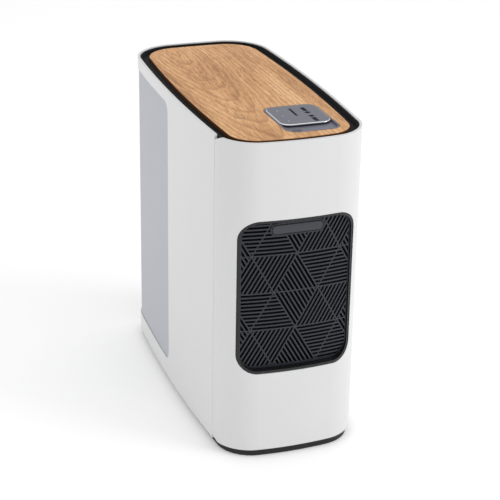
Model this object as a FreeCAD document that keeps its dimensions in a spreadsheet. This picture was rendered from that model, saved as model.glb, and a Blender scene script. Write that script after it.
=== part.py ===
"""Compact storage tower with a wooden charging lid, a top port block and a slatted front cover.

Frame: millimetres, X to the right seen from the front, Y to the rear, Z up.
Origin: the middle of the case's footprint, on the surface that the feet stand on.
"""
import FreeCAD, Part
import math
import os
import re

import Sketcher

doc = FreeCAD.newDocument("StorageTower")
sheet = doc.addObject("Spreadsheet::Sheet", "Sizes")

# ---------------------------------------------------------------- driving sizes, one cell each
SIZES = [
    ("case_width", 177.0, "case, over its sides"),
    ("case_depth", 389.0, "case, front to rear"),
    ("case_height", 376.0, "case, floor to rim"),
    ("front_bow", 365.0, "radius of the bowed front, seen from above"),
    ("side_bow", 2200.0, "radius of the bowed sides, seen from above"),
    ("rear_bow", 900.0, "radius of the bowed rear, seen from above"),
    ("front_corner", 46.0, "radius of the front corners"),
    ("rear_corner", 54.0, "radius of the rear corners"),
    ("shell_wall", 3.0, "wall of the moulded shells"),
    ("shell_lift", 8.5, "lower edge of the shells above the floor"),
    ("fit_gap", 0.3, "clearance between pieces that slide past each other"),
    ("seam_gap", 0.4, "joint line between neighbouring shells"),
    ("notch_length", 12.0, "chamfer at the ends of the front seam, along the case"),
    ("notch_slope", 25.0, "chamfer at the ends of the front seam, its angle to the rim, degrees"),
    ("side_panel_length", 318.0, "side panel, front to rear"),
    ("foot_height", 1.0, "rubber feet, proud of the base"),
    ("foot_radius", 11.0, "rubber feet, radius"),
    ("foot_side_inset", 34.0, "foot centre in from the case side"),
    ("foot_end_inset", 62.0, "foot centre in from the case front or rear"),
    ("base_front_inset", 1.5, "base skirt, in from the case front"),
    ("base_side_inset", 4.5, "base skirt, in from the case side"),
    ("base_rear_inset", 5.0, "base skirt, in from the case rear"),
    ("base_wall", 3.0, "base, thickness of its flange"),
    ("base_flange", 4.5, "base flange, up inside the shells"),
    ("recess_depth", 2.0, "side recess, depth of its rebate"),
    ("recess_step", 1.2, "face of the vent sheet below the panel face"),
    ("recess_ledge", 12.0, "width of the ledge that carries the vent sheet"),
    ("sheet_seat", 0.2, "clearance behind the vent sheet, filled with its adhesive"),
    ("recess_front", 200.5, "side recess, its front edge behind the case front"),
    ("recess_bottom", 31.0, "side recess, its lower edge above the floor"),
    ("recess_top_margin", 14.0, "side recess, its upper edge below the rim"),
    ("recess_corner", 13.0, "side recess, corner radius"),
    ("rim_drop", 1.0, "lid face below the rim"),
    ("lid_thick", 6.0, "wooden lid, thickness"),
    ("lid_side_inset", 14.5, "wooden lid, in from the case side"),
    ("lid_front_inset", 11.5, "wooden lid, in from the case front"),
    ("lid_rear_inset", 13.5, "wooden lid, in from the case rear"),
    ("bezel_lip", 1.2, "flat lip of the top bezel"),
    ("bezel_slope", 30.0, "slope of the bezel's inner wall from upright, degrees"),
    ("bezel_drop", 4.2, "bezel floor below the lid face"),
    ("window_width", 135.0, "front window, width"),
    ("window_height", 183.0, "front window, height"),
    ("window_sill", 105.0, "front window, lower edge above the floor"),
    ("window_corner", 23.0, "front window, corner radius"),
    ("frame_wall", 3.0, "grille frame, wall"),
    ("frame_recess", 0.8, "grille frame, its front edge behind the shell face"),
    ("frame_depth", 19.5, "grille frame, its rear edge behind the case front"),
    ("grille_recess", 8.0, "grille face behind the shell face"),
    ("grille_thick", 3.0, "grille, thickness"),
    ("grille_cell", 51.3, "grille, side of each triangle"),
    ("grille_ridge", 1.3, "grille, ridge between two triangles"),
    ("slot_width", 2.5, "grille, width of a slot"),
    ("slots_per_cell", 10, "grille, slots across the height of a triangle"),
    ("badge_length", 60.0, "pill plate, length"),
    ("badge_height", 11.5, "pill plate, height"),
    ("badge_thick", 1.7, "pill plate, thickness"),
    ("badge_ring", 1.6, "ring around the pill plate"),
    ("badge_drop", 14.2, "pill plate centre below the window's upper edge"),
    ("filter_thick", 2.0, "dust filter, thickness"),
    ("sheet_metal", 1.2, "chassis sheet, thickness"),
    ("chassis_side_inset", 17.0, "chassis in from the case side"),
    ("chassis_front_inset", 44.5, "chassis in from the case front"),
    ("chassis_rear_inset", 27.3, "chassis in from the case rear"),
    ("bay_count", 4, "drive bays"),
    ("bay_headroom", 13.9, "drive bay, room above and below its drive"),
    ("bay_side_room", 3.6, "drive bay, room for a sled rail beside its drive"),
    ("bay_bottom_rise", 11.5, "lowest bay above the window's lower edge"),
    ("drive_width", 101.6, "disk drive, width"),
    ("drive_length", 147.0, "disk drive, length"),
    ("drive_height", 26.1, "disk drive, height"),
    ("sled_front_thick", 6.0, "sled front, thickness"),
    ("sled_sheet", 1.5, "sled floor, thickness"),
    ("sled_rail_height", 18.0, "sled rails, height"),
    ("sled_travel_clear", 0.5, "drive to its plug"),
    ("circuit_board", 1.6, "circuit boards, thickness"),
    ("bay_fan_margin", 9.6, "fan behind the bays, narrower than a drive"),
    ("runner_width", 4.0, "sled runner, out from the cage wall"),
    ("rear_fan_size", 80.0, "fan at the rear, side"),
    ("cooler_fan_size", 80.0, "fan on the processor cooler, side"),
    ("fan_thick", 25.0, "case fans, thickness"),
    ("cooler_fan_thick", 20.0, "processor fan, thickness"),
    ("board_side", 170.0, "main board, side"),
    ("board_top_drop", 21.0, "main board, its upper edge below the rim"),
    ("board_rear_gap", 1.0, "main board to the rear plate"),
    ("standoff_height", 9.5, "board standoffs, height"),
    ("cooler_side", 80.0, "processor cooler, side"),
    ("cooler_height", 38.0, "processor cooler, height"),
    ("cooler_pitch", 4.0, "processor cooler, fin to fin"),
    ("memory_length", 133.0, "memory module, length"),
    ("memory_height", 30.0, "memory module, height"),
    ("supply_width", 125.0, "power supply, width"),
    ("supply_height", 63.5, "power supply, height"),
    ("supply_depth", 100.0, "power supply, depth"),
    ("rear_opening_side", 26.5, "opening in the rear shell, in from the case side"),
    ("rear_opening_sill", 17.0, "opening in the rear shell, lower edge above the floor"),
    ("rear_opening_top", 22.0, "opening in the rear shell, upper edge below the rim"),
    ("rear_opening_corner", 12.0, "opening in the rear shell, corner radius"),
    ("shroud_wall", 2.0, "lining of the rear opening, wall"),
    ("tray_left", -6.0, "port tray, its left edge"),
    ("tray_width", 63.0, "port tray, width"),
    ("tray_front", 28.5, "port tray, its front edge behind the case front"),
    ("tray_length", 88.0, "port tray, front to rear"),
    ("tray_corner", 13.5, "port tray, corner radius"),
    ("tray_wall", 1.6, "port tray, wall"),
    ("tray_floor", 3.5, "port tray, floor"),
    ("finger_scoop", 21.4, "open length of the tray in front of the port block"),
    ("port_block_height", 3.3, "port block, height above the tray floor"),
    ("port_column", 38.0, "sockets, their place across the case"),
    ("card_column", 23.0, "card slot, its place across the case"),
    ("light_column", 7.5, "status lights, their place across the case"),
    ("usb_front", 62.5, "front socket behind the case front"),
    ("usb_spacing", 35.0, "front socket to rear socket"),
    ("jack_front", 74.0, "front audio jack behind the case front"),
    ("jack_spacing", 12.0, "audio jack to audio jack"),
    ("jack_bore", 1.8, "audio jack, bore radius"),
    ("jack_radius", 3.4, "audio jack, outer radius"),
    ("jack_depth", 14.0, "audio jack, bore depth"),
    ("usb_long", 13.2, "socket shell, long side"),
    ("usb_short", 5.8, "socket shell, short side"),
    ("usb_sheet", 0.5, "socket shell, thickness"),
    ("card_long", 25.5, "card cage, long side"),
    ("card_short", 3.6, "card cage, short side"),
    ("card_sheet", 0.6, "card cage, thickness"),
    ("card_front", 91.5, "card slot centre behind the case front"),
    ("light_radius", 0.9, "status light, radius"),
    ("light_front", 63.5, "front status light behind the case front"),
    ("light_spacing", 18.0, "status light to status light"),
    ("light_count", 3, "status lights"),
    ("button_length", 11.0, "power button, length"),
    ("button_width", 7.0, "power button, width"),
    ("button_front", 35.0, "power button centre behind the case front"),
    ("button_column", 6.0, "power button, its place across the case"),
    ("button_proud", 2.0, "power button above the tray floor"),
    ("button_travel", 1.2, "power button, travel"),
    ("coil_radius", 24.0, "charging coil, outer radius"),
    ("coil_eye", 10.0, "charging coil, inner radius"),
    ("coil_thick", 1.6, "charging coil, thickness"),
    ("coil_column", -36.5, "charging coil, its place across the case"),
    ("coil_front", 94.5, "charging coil centre behind the case front"),
    ("screw_radius", 1.5, "machine screws, shank radius"),
    ("screw_head", 2.8, "machine screws, head radius"),
    ("screw_head_height", 1.6, "machine screws, head height"),
]
for row, (alias, number, meaning) in enumerate(SIZES, start=1):
    sheet.set(f"A{row}", meaning)
    sheet.set(f"B{row}", str(number))
    sheet.setAlias(f"B{row}", alias)
doc.recompute()
CELLS = {alias for alias, number, meaning in SIZES}

# ---------------------------------------------------------------- places worked out from the sizes
PLACES = {
    "half_width": "case_width / 2",
    "front_face": "-case_depth / 2",
    "rear_face": "case_depth / 2",
    "shell_mid": "(shell_lift + case_height) / 2",
    "front_seam": "front_face + chassis_front_inset",
    "rear_seam": "front_seam + side_panel_length",
    "skirt_top": "shell_lift - fit_gap",
    "flange_top": "shell_lift + base_flange",
    "lid_top": "case_height - rim_drop",
    "lid_bottom": "lid_top - lid_thick",
    "bezel_floor": "lid_top - bezel_drop",
    "chassis_half": "half_width - chassis_side_inset",
    "chassis_front": "front_face + chassis_front_inset",
    "chassis_rear": "rear_face - chassis_rear_inset",
    "chassis_floor": "flange_top + sheet_metal",
    "chassis_top": "lid_bottom - 6.8",
    "chassis_ceiling": "chassis_top - sheet_metal",
    "recess_top": "case_height - recess_top_margin",
    "window_top": "window_sill + window_height",
    "window_mid": "window_sill + window_height / 2",
    "badge_level": "window_top - badge_drop",
    "frame_back": "front_face + frame_depth",
    "bay_pitch": "drive_height + bay_headroom",
    "bay_width": "drive_width + 2 * bay_side_room",
    "bay_fan_size": "drive_width - bay_fan_margin",
    "cage_half": "bay_width / 2 + sheet_metal",
    "bay_floor": "window_sill + bay_bottom_rise",
    "bay_roof": "bay_floor + bay_count * bay_pitch",
    "bay_mid": "(bay_floor + bay_roof) / 2",
    "drive_front": "chassis_front + 0.5",
    "drive_rear": "drive_front + drive_length",
    "plug_front": "drive_rear + sled_travel_clear",
    "backplane_front": "plug_front + 8",
    "backplane_rear": "backplane_front + circuit_board",
    "fan_plate_rear": "backplane_rear + 1 + sheet_metal",
    "bay_fan_rear": "fan_plate_rear + fan_thick",
    "board_wall": "chassis_half - sheet_metal",
    "board_back": "board_wall - standoff_height",
    "board_face": "board_back - circuit_board",
    "board_top": "case_height - board_top_drop",
    "board_bottom": "board_top - board_side",
    "board_rear": "chassis_rear - board_rear_gap",
    "board_front": "board_rear - board_side",
    "chip_face": "board_face - 3",
    "cooler_face": "chip_face - cooler_height",
    "cooler_y": "board_front + 99",
    "cooler_z": "board_bottom + 85",
    "memory_z": "board_top - 20",
    "supply_front": "chassis_rear - supply_depth",
    "supply_top": "chassis_floor + supply_height",
    "rear_fan_x": "-chassis_half + rear_fan_size / 2 + 12",
    "rear_fan_z": "board_top - rear_fan_size / 2 - 13",
    "rear_fan_front": "chassis_rear - fan_thick",
    "ports_low": "board_bottom + 10",
    "rear_opening_width": "case_width - 2 * rear_opening_side",
    "rear_opening_low": "rear_opening_sill",
    "rear_opening_high": "case_height - rear_opening_top",
    "shroud_rear": "rear_face - 5.5",
    "tray_right": "tray_left + tray_width",
    "tray_near": "front_face + tray_front",
    "tray_far": "tray_near + tray_length",
    "tray_deck": "lid_bottom + tray_floor",
    "block_left": "tray_left + tray_wall + fit_gap",
    "block_right": "tray_right - tray_wall - fit_gap",
    "block_near": "tray_near + tray_wall + finger_scoop",
    "block_far": "tray_far - tray_wall - fit_gap",
    "block_top": "tray_deck + port_block_height",
    "port_well_left": "card_column - 8",
    "port_well_right": "port_column + 8",
    "port_well_near": "block_near + 4",
    "port_well_far": "block_far - 3.5",
    "port_board_top": "chassis_ceiling - 3.4",
    "port_board_bottom": "port_board_top - circuit_board",
    "usb_near": "front_face + usb_front",
    "jack_near": "front_face + jack_front",
    "card_mid": "front_face + card_front",
    "light_near": "front_face + light_front",
    "button_y": "front_face + button_front",
    "button_top": "tray_deck + button_proud",
    "button_foot": "button_top - 6.5",
    "stem_foot": "chassis_ceiling - 0.4",
    "switch_top": "stem_foot - button_travel - 0.4",
    "switch_board_top": "switch_top - 1.4",
    "coil_y": "front_face + coil_front",
}


def expand(text):
    """An expression in the sheet's cells: each place is replaced by its own expression."""
    def word(match):
        name = match.group(0)
        if name in PLACES:
            return "(" + expand(PLACES[name]) + ")"
        return "Sizes." + name if name in CELLS else name
    return re.sub(r"[A-Za-z_]\w*", word, str(text))


def value(text):
    """The number that an expression stands for."""
    return float(sheet.evalExpression(expand(text)))


def bind(thing, **expressions):
    """Bind properties to expressions; a double underscore stands for a dot in the property's path."""
    for path, text in expressions.items():
        thing.setExpression(path.replace("__", "."), expand(text))


# ---------------------------------------------------------------- solids that every group uses
TURNS = {
    "x": FreeCAD.Rotation(FreeCAD.Vector(0, 1, 0), 90),
    "y": FreeCAD.Rotation(FreeCAD.Vector(1, 0, 0), -90),
    "z": FreeCAD.Rotation(),
}
PARTS = []


def part(thing, label):
    """Name a finished sub-part; its label is the name of the file that it is written to."""
    thing.Label = label
    PARTS.append(thing)
    return thing


def block(name, x, y, z):
    """A box; each argument is a pair of expressions, low and high."""
    box = doc.addObject("Part::Box", name)
    for side, axis, (low, high) in (("Length", "x", x), ("Width", "y", y), ("Height", "z", z)):
        bind(box, **{side: f"({high}) - ({low})", f"Placement__Base__{axis}": low})
    return box


def rod(name, axis, centre, radius, low, high):
    """A cylinder along an axis; centre is its place on the other two axes, in X, Y, Z order."""
    cylinder = doc.addObject("Part::Cylinder", name)
    cylinder.Placement = FreeCAD.Placement(FreeCAD.Vector(), TURNS[axis])
    across = [letter for letter in "xyz" if letter != axis]
    bind(cylinder, Radius=radius, Height=f"({high}) - ({low})")
    bind(cylinder, **{f"Placement__Base__{axis}": low})
    bind(cylinder, **{f"Placement__Base__{letter}": place for letter, place in zip(across, centre)})
    return cylinder


def fuse(name, *things):
    """Several solids joined into one object."""
    joined = doc.addObject("Part::MultiFuse", name)
    joined.Shapes = list(things)
    return joined


def cut(name, base, *tools):
    """A solid less one or more others."""
    result = doc.addObject("Part::Cut", name)
    result.Base = base
    result.Tool = tools[0] if len(tools) == 1 else fuse(name + "_tools", *tools)
    return result


def common(name, *things):
    """What several solids have in common."""
    shared = doc.addObject("Part::MultiCommon", name)
    shared.Shapes = list(things)
    return shared


def group(name, things):
    """Like pieces kept as separate solids in one object."""
    compound = doc.addObject("Part::Compound", name)
    compound.Links = list(things)
    return compound


def pill(name, axis, centre, length, width, low, high):
    """A bar with half-round ends along X, raised along an axis from low to high."""
    run = f"(({length}) - ({width})) / 2"
    x, other = centre
    left = rod(name + "_left", axis, (f"({x}) - {run}", other), f"({width}) / 2", low, high)
    right = rod(name + "_right", axis, (f"({x}) + {run}", other), f"({width}) / 2", low, high)
    along = (f"({x}) - {run}", f"({x}) + {run}")
    over = (f"({other}) - ({width}) / 2", f"({other}) + ({width}) / 2")
    bar = block(name + "_bar", along, (low, high), over) if axis == "y" else \
        block(name + "_bar", along, over, (low, high))
    return fuse(name, left, right, bar)


def sketch_body(name, role):
    """A PartDesign body with one sketch on an origin plane."""
    body = doc.addObject("PartDesign::Body", name)
    plane = next(feature for feature in body.Origin.OriginFeatures if feature.Role == role)
    sketch = body.newObject("Sketcher::SketchObject", name + "_sketch")
    sketch.AttachmentSupport = [(plane, "")]
    sketch.MapMode = "FlatFace"
    return body, sketch


def pad(body, sketch, length):
    """Raise the body's sketch by a length along the sketch's normal."""
    raised = body.newObject("PartDesign::Pad", body.Name + "_pad")
    raised.Profile = sketch
    bind(raised, Length=length)
    body.Tip = raised
    return raised


def plate(name, role, wide, tall, corner, low, high):
    """A rounded rectangle on an origin plane, padded from low to high along the third axis."""
    body, sketch = sketch_body(name, role)
    turned = role == "XZ_Plane"
    bind(sketch, AttachmentOffset__Base__x=f"(({wide[0]}) + ({wide[1]})) / 2",
         AttachmentOffset__Base__y=f"(({tall[0]}) + ({tall[1]})) / 2",
         AttachmentOffset__Base__z=f"-({high})" if turned else low)
    radius = value(corner)
    over_x = value(f"(({wide[1]}) - ({wide[0]})) / 2") - radius
    over_y = value(f"(({tall[1]}) - ({tall[0]})) / 2") - radius
    centres = [(over_x, -over_y), (over_x, over_y), (-over_x, over_y), (-over_x, -over_y)]
    normal = FreeCAD.Vector(0, 0, 1)
    ends = []
    for index, (x, y) in enumerate(centres):
        start = (index - 1) * math.pi / 2
        circle = Part.Circle(FreeCAD.Vector(x, y, 0), normal, radius)
        arc = Part.ArcOfCircle(circle, start, start + math.pi / 2)
        sketch.addGeometry(arc, False)
        ends.append((arc.StartPoint, arc.EndPoint))
    for index in range(4):
        line = Part.LineSegment(ends[index][1], ends[(index + 1) % 4][0])
        sketch.addGeometry(line, False)
    for index in range(4):
        sketch.addConstraint(Sketcher.Constraint("Tangent", index, 2, 4 + index, 1))
        sketch.addConstraint(Sketcher.Constraint("Tangent", 4 + index, 2, (index + 1) % 4, 1))
        sketch.addConstraint(Sketcher.Constraint("Vertical" if index % 2 == 0 else "Horizontal", 4 + index))
    for index in range(1, 4):
        sketch.addConstraint(Sketcher.Constraint("Equal", 0, index))
    sketch.addConstraint(Sketcher.Constraint("Symmetric", 0, 3, 2, 3, -1, 1))
    names = (("corner", Sketcher.Constraint("Radius", 0, radius), corner),
             ("across", Sketcher.Constraint("DistanceX", 3, 3, 0, 3, 2 * over_x),
              f"({wide[1]}) - ({wide[0]}) - 2 * ({corner})"),
             ("along", Sketcher.Constraint("DistanceY", 0, 3, 1, 3, 2 * over_y),
              f"({tall[1]}) - ({tall[0]}) - 2 * ({corner})"))
    for word, constraint, text in names:
        number = sketch.addConstraint(constraint)
        sketch.renameConstraint(number, word)
        sketch.setExpression(f"Constraints.{word}", expand(text))
    pad(body, sketch, f"({high}) - ({low})")
    return body


def corner_centre(bow_a, reach_a, bow_b, reach_b, corner, guess):
    """The centre of a corner arc that touches two bows from the inside."""
    (ax, ay), (bx, by) = bow_a, bow_b
    first, second = reach_a - corner, reach_b - corner
    span = math.hypot(bx - ax, by - ay)
    along = (first ** 2 - second ** 2 + span ** 2) / (2 * span)
    across = math.sqrt(first ** 2 - along ** 2)
    ux, uy = (bx - ax) / span, (by - ay) / span
    options = [(ax + along * ux - side * across * uy, ay + along * uy + side * across * ux)
               for side in (1, -1)]
    return min(options, key=lambda spot: math.hypot(spot[0] - guess[0], spot[1] - guess[1]))


def bowed(name, side, front, rear, low, high, taper=None):
    """A slab with the case's outline seen from above: four shallow bows and four corner arcs.

    side, front and rear are how far the outline lies inside the case on each side."""
    body, sketch = sketch_body(name, "XY_Plane")
    bind(sketch, AttachmentOffset__Base__z=low)
    sizes = {
        "reach_x": f"half_width - ({side})",
        "reach_front": f"case_depth / 2 - ({front})",
        "reach_rear": f"case_depth / 2 - ({rear})",
        "bow_front": f"front_bow - ({front})",
        "bow_side": f"side_bow - ({side})",
        "bow_rear": f"rear_bow - ({rear})",
        "round_front": f"front_corner - ({side})",
        "round_rear": f"rear_corner - ({side})",
    }
    size = {word: value(text) for word, text in sizes.items()}
    centre_front = (0.0, size["bow_front"] - size["reach_front"])
    centre_rear = (0.0, size["reach_rear"] - size["bow_rear"])
    centre_right = (size["reach_x"] - size["bow_side"], 0.0)
    centre_left = (size["bow_side"] - size["reach_x"], 0.0)
    round_front, round_rear = size["round_front"], size["round_rear"]
    near = size["reach_x"] - round_front, size["reach_front"] - round_front
    far = size["reach_x"] - round_rear, size["reach_rear"] - round_rear
    bows = [(centre_front, size["bow_front"]), (centre_right, size["bow_side"]),
            (centre_rear, size["bow_rear"]), (centre_left, size["bow_side"])]
    corners = [(round_front, (near[0], -near[1])), (round_rear, far),
               (round_rear, (-far[0], far[1])), (round_front, (-near[0], -near[1]))]
    centres = []
    for index, (radius, guess) in enumerate(corners):
        (bow_a, reach_a), (bow_b, reach_b) = bows[index], bows[(index + 1) % 4]
        centres.append(corner_centre(bow_a, reach_a, bow_b, reach_b, radius, guess))

    def bearing(origin, target):
        return math.atan2(target[1] - origin[1], target[0] - origin[0])

    normal = FreeCAD.Vector(0, 0, 1)
    for index in range(4):
        (centre, reach), before, after = bows[index], centres[index - 1], centres[index]
        circle = Part.Circle(FreeCAD.Vector(centre[0], centre[1], 0), normal, reach)
        start, end = bearing(centre, before), bearing(centre, after)
        sketch.addGeometry(Part.ArcOfCircle(circle, start, end if end > start else end + 2 * math.pi), False)
        radius, following = corners[index][0], bows[(index + 1) % 4][0]
        circle = Part.Circle(FreeCAD.Vector(after[0], after[1], 0), normal, radius)
        start, end = bearing(centre, after), bearing(following, after)
        sketch.addGeometry(Part.ArcOfCircle(circle, start, end if end > start else end + 2 * math.pi), False)
    for index in range(8):
        sketch.addConstraint(Sketcher.Constraint("Tangent", index, 2, (index + 1) % 8, 1))
    for index, axis in ((0, -2), (2, -1), (4, -2), (6, -1)):
        sketch.addConstraint(Sketcher.Constraint("PointOnObject", index, 3, axis))
    named = [
        ("bow_front", Sketcher.Constraint("Radius", 0, size["bow_front"]), sizes["bow_front"]),
        ("bow_right", Sketcher.Constraint("Radius", 2, size["bow_side"]), sizes["bow_side"]),
        ("bow_rear", Sketcher.Constraint("Radius", 4, size["bow_rear"]), sizes["bow_rear"]),
        ("bow_left", Sketcher.Constraint("Radius", 6, size["bow_side"]), sizes["bow_side"]),
        ("round_a", Sketcher.Constraint("Radius", 1, round_front), sizes["round_front"]),
        ("round_b", Sketcher.Constraint("Radius", 3, round_rear), sizes["round_rear"]),
        ("round_c", Sketcher.Constraint("Radius", 5, round_rear), sizes["round_rear"]),
        ("round_d", Sketcher.Constraint("Radius", 7, round_front), sizes["round_front"]),
        ("place_front", Sketcher.Constraint("DistanceY", -1, 1, 0, 3, centre_front[1]),
         f"({sizes['bow_front']}) - ({sizes['reach_front']})"),
        ("place_rear", Sketcher.Constraint("DistanceY", 4, 3, -1, 1, -centre_rear[1]),
         f"({sizes['bow_rear']}) - ({sizes['reach_rear']})"),
        ("place_right", Sketcher.Constraint("DistanceX", 2, 3, -1, 1, -centre_right[0]),
         f"({sizes['bow_side']}) - ({sizes['reach_x']})"),
        ("place_left", Sketcher.Constraint("DistanceX", -1, 1, 6, 3, centre_left[0]),
         f"({sizes['bow_side']}) - ({sizes['reach_x']})"),
    ]
    for word, constraint, text in named:
        number = sketch.addConstraint(constraint)
        sketch.renameConstraint(number, word)
        sketch.setExpression(f"Constraints.{word}", expand(text))
    raised = pad(body, sketch, f"({high}) - ({low})")
    if taper is not None:
        bind(raised, TaperAngle=taper)
    return body


def screws(name, axis, spots, seat, length, outward):
    """Pan-head machine screws along an axis; the head stands on the seat, outward is 1 or -1."""
    made = []
    for index, spot in enumerate(spots):
        head_top = f"({seat}) + ({outward}) * screw_head_height"
        tip = f"({seat}) - ({outward}) * ({length})"
        low, high = (seat, head_top) if outward > 0 else (head_top, seat)
        head = rod(f"{name}_head{index}", axis, spot, "screw_head", low, high)
        low, high = (tip, seat) if outward > 0 else (seat, tip)
        shank = rod(f"{name}_shank{index}", axis, spot, "screw_radius", low, high)
        made.append(fuse(f"{name}_{index}", head, shank))
    return group(name, made)


def square(centre, pitch):
    """The four spots of a square hole pattern."""
    first, second = centre
    return [(f"({first}) + ({a}) * ({pitch}) / 2", f"({second}) + ({b}) * ({pitch}) / 2")
            for a, b in ((-1, -1), (1, -1), (1, 1), (-1, 1))]


# ---------------------------------------------------------------- case shells
WIDE = "half_width + 10"
shell_outer = bowed("shell_outer", "0", "0", "0", "shell_lift", "case_height")
shell_inner = bowed("shell_inner", "shell_wall", "shell_wall", "shell_wall",
                    "shell_lift - 1", "case_height + 1")
shell_ring = cut("shell_ring", shell_outer, shell_inner)
window_hole = plate("window_hole", "XZ_Plane", ("-window_width / 2", "window_width / 2"),
                    ("window_sill", "window_top"), "window_corner", "front_face - 5", "front_seam")
rear_hole = plate("rear_hole", "XZ_Plane", ("-rear_opening_width / 2", "rear_opening_width / 2"),
                  ("rear_opening_low", "rear_opening_high"), "rear_opening_corner",
                  "rear_seam", "rear_face + 5")


def seam_notch(name, corner, slope):
    """A bar that chamfers the front shell's left side where its seam meets a rim: a grip for the cover."""
    y, z = corner
    bar = block(name, (f"-({WIDE})", "0"), (y, f"{y} + notch_length / cos(notch_slope * 1deg)"),
                (z, f"{z} + notch_length"))
    bar.Placement = FreeCAD.Placement(bar.Placement.Base, FreeCAD.Rotation(FreeCAD.Vector(1, 0, 0), slope))
    return bar


NOTCH_DEPTH = "notch_length * tan(notch_slope * 1deg)"
upper_notch = seam_notch("upper_notch", ("front_seam - notch_length", "case_height"), -value("notch_slope"))
lower_notch = seam_notch("lower_notch", ("front_seam", f"shell_lift + {NOTCH_DEPTH}"),
                         180 + value("notch_slope"))


def side_zone(name, side):
    """The stretch of the case that one side panel takes, between its two seams."""
    x = (f"-({WIDE})", "0") if side < 0 else ("0", WIDE)
    return block(name, x, ("front_seam + seam_gap / 2", "rear_seam - seam_gap / 2"),
                 ("shell_lift - 2", "case_height + 2"))


def make_shells():
    """Front shell with its window, two side panels with a rebate for the vent sheet, rear shell."""
    front_zone = block("front_zone", (f"-({WIDE})", WIDE), ("front_face - 1", "front_seam - seam_gap / 2"),
                       ("shell_lift - 2", "case_height + 2"))
    front = common("front_ring", shell_ring, front_zone)
    part(cut("front_moulding", front, window_hole, upper_notch, lower_notch), "front_shell")

    rear_zone = block("rear_zone", (f"-({WIDE})", WIDE), ("rear_seam + seam_gap / 2", "rear_face + 1"),
                      ("shell_lift - 2", "case_height + 2"))
    rear = common("rear_ring", shell_ring, rear_zone)
    part(cut("rear_moulding", rear, rear_hole), "rear_shell")

    recess = plate("recess_prism", "YZ_Plane", ("front_face + recess_front", "rear_face + 40"),
                   ("recess_bottom", "recess_top"), "recess_corner", f"-({WIDE})", WIDE)
    sheet_prism = plate("sheet_prism", "YZ_Plane",
                        ("front_face + recess_front + fit_gap", "rear_face + 40"),
                        ("recess_bottom + fit_gap", "recess_top - fit_gap"),
                        "recess_corner - fit_gap", f"-({WIDE})", WIDE)
    airway = plate("airway_prism", "YZ_Plane",
                   ("front_face + recess_front + recess_ledge", "rear_seam - recess_ledge"),
                   ("recess_bottom + recess_ledge", "recess_top - recess_ledge"), "recess_corner - 3",
                   f"-({WIDE})", WIDE)
    rebate_core = bowed("rebate_core", "recess_depth", "recess_depth", "recess_depth",
                        "shell_lift - 2", "case_height + 2")
    sheet_outer = bowed("sheet_outer", "recess_step", "recess_step", "recess_step",
                        "shell_lift - 2", "case_height + 2")
    rebate = cut("rebate", recess, rebate_core)
    back = "recess_depth - sheet_seat"
    sheet_core = bowed("sheet_core", back, back, back, "shell_lift - 3", "case_height + 3")
    sheet_ring = cut("sheet_ring", sheet_outer, sheet_core)
    for word, side in (("left", -1), ("right", 1)):
        zone = side_zone(word + "_zone", side)
        blank = common(word + "_ring", shell_ring, zone)
        part(cut(word + "_moulding", blank, rebate, airway), word + "_side_panel")
        part(common(word + "_sheet", sheet_ring, sheet_prism, zone), word + "_vent_sheet")


# ---------------------------------------------------------------- base and feet
def make_base():
    """A shallow tub on four rubber feet; its flange carries the shells and the chassis."""
    skirt = bowed("base_lower", "base_side_inset", "base_front_inset", "base_rear_inset",
                  "foot_height", "skirt_top")
    inset = "shell_wall + fit_gap"
    flange = bowed("base_upper", inset, inset, inset, "skirt_top", "flange_top")
    hollow = bowed("base_hollow", "base_side_inset + base_wall", f"{inset} + base_wall",
                   "base_rear_inset + base_wall", "foot_height + base_wall", "flange_top + 1")
    ribs = [block(f"base_rib{index}", ("-chassis_half", "chassis_half"), (f"{y} - 1.5", f"{y} + 1.5"),
                  ("foot_height + 1", "flange_top")) for index, y in enumerate(("-90", "0", "90"))]
    tub = cut("base_tub", fuse("base_blank", skirt, flange), hollow)
    part(fuse("base_with_ribs", tub, *ribs), "base_tray")

    feet = []
    for index, (a, b) in enumerate(((-1, -1), (1, -1), (1, 1), (-1, 1))):
        spot = (f"({a}) * (half_width - foot_side_inset)", f"({b}) * (case_depth / 2 - foot_end_inset)")
        feet.append(rod(f"foot{index}", "z", spot, "foot_radius", "0", "foot_height"))
    part(group("feet", feet), "rubber_feet")


# ---------------------------------------------------------------- top: bezel, lid, charging coil
tray_pocket = plate("tray_pocket", "XY_Plane", ("tray_left - fit_gap", "tray_right + fit_gap"),
                    ("tray_near - fit_gap", "tray_far + fit_gap"), "tray_corner + fit_gap",
                    "lid_bottom - 1", "case_height + 1")
port_well = block("port_well", ("port_well_left", "port_well_right"), ("port_well_near", "port_well_far"),
                  ("chassis_ceiling - 20", "tray_deck + 0.5"))
button_hole = pill("button_hole", "z", ("button_column", "button_y"), "button_length + 2 * fit_gap",
                   "button_width + 2 * fit_gap", "chassis_ceiling - 1", "tray_deck + 1")


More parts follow.
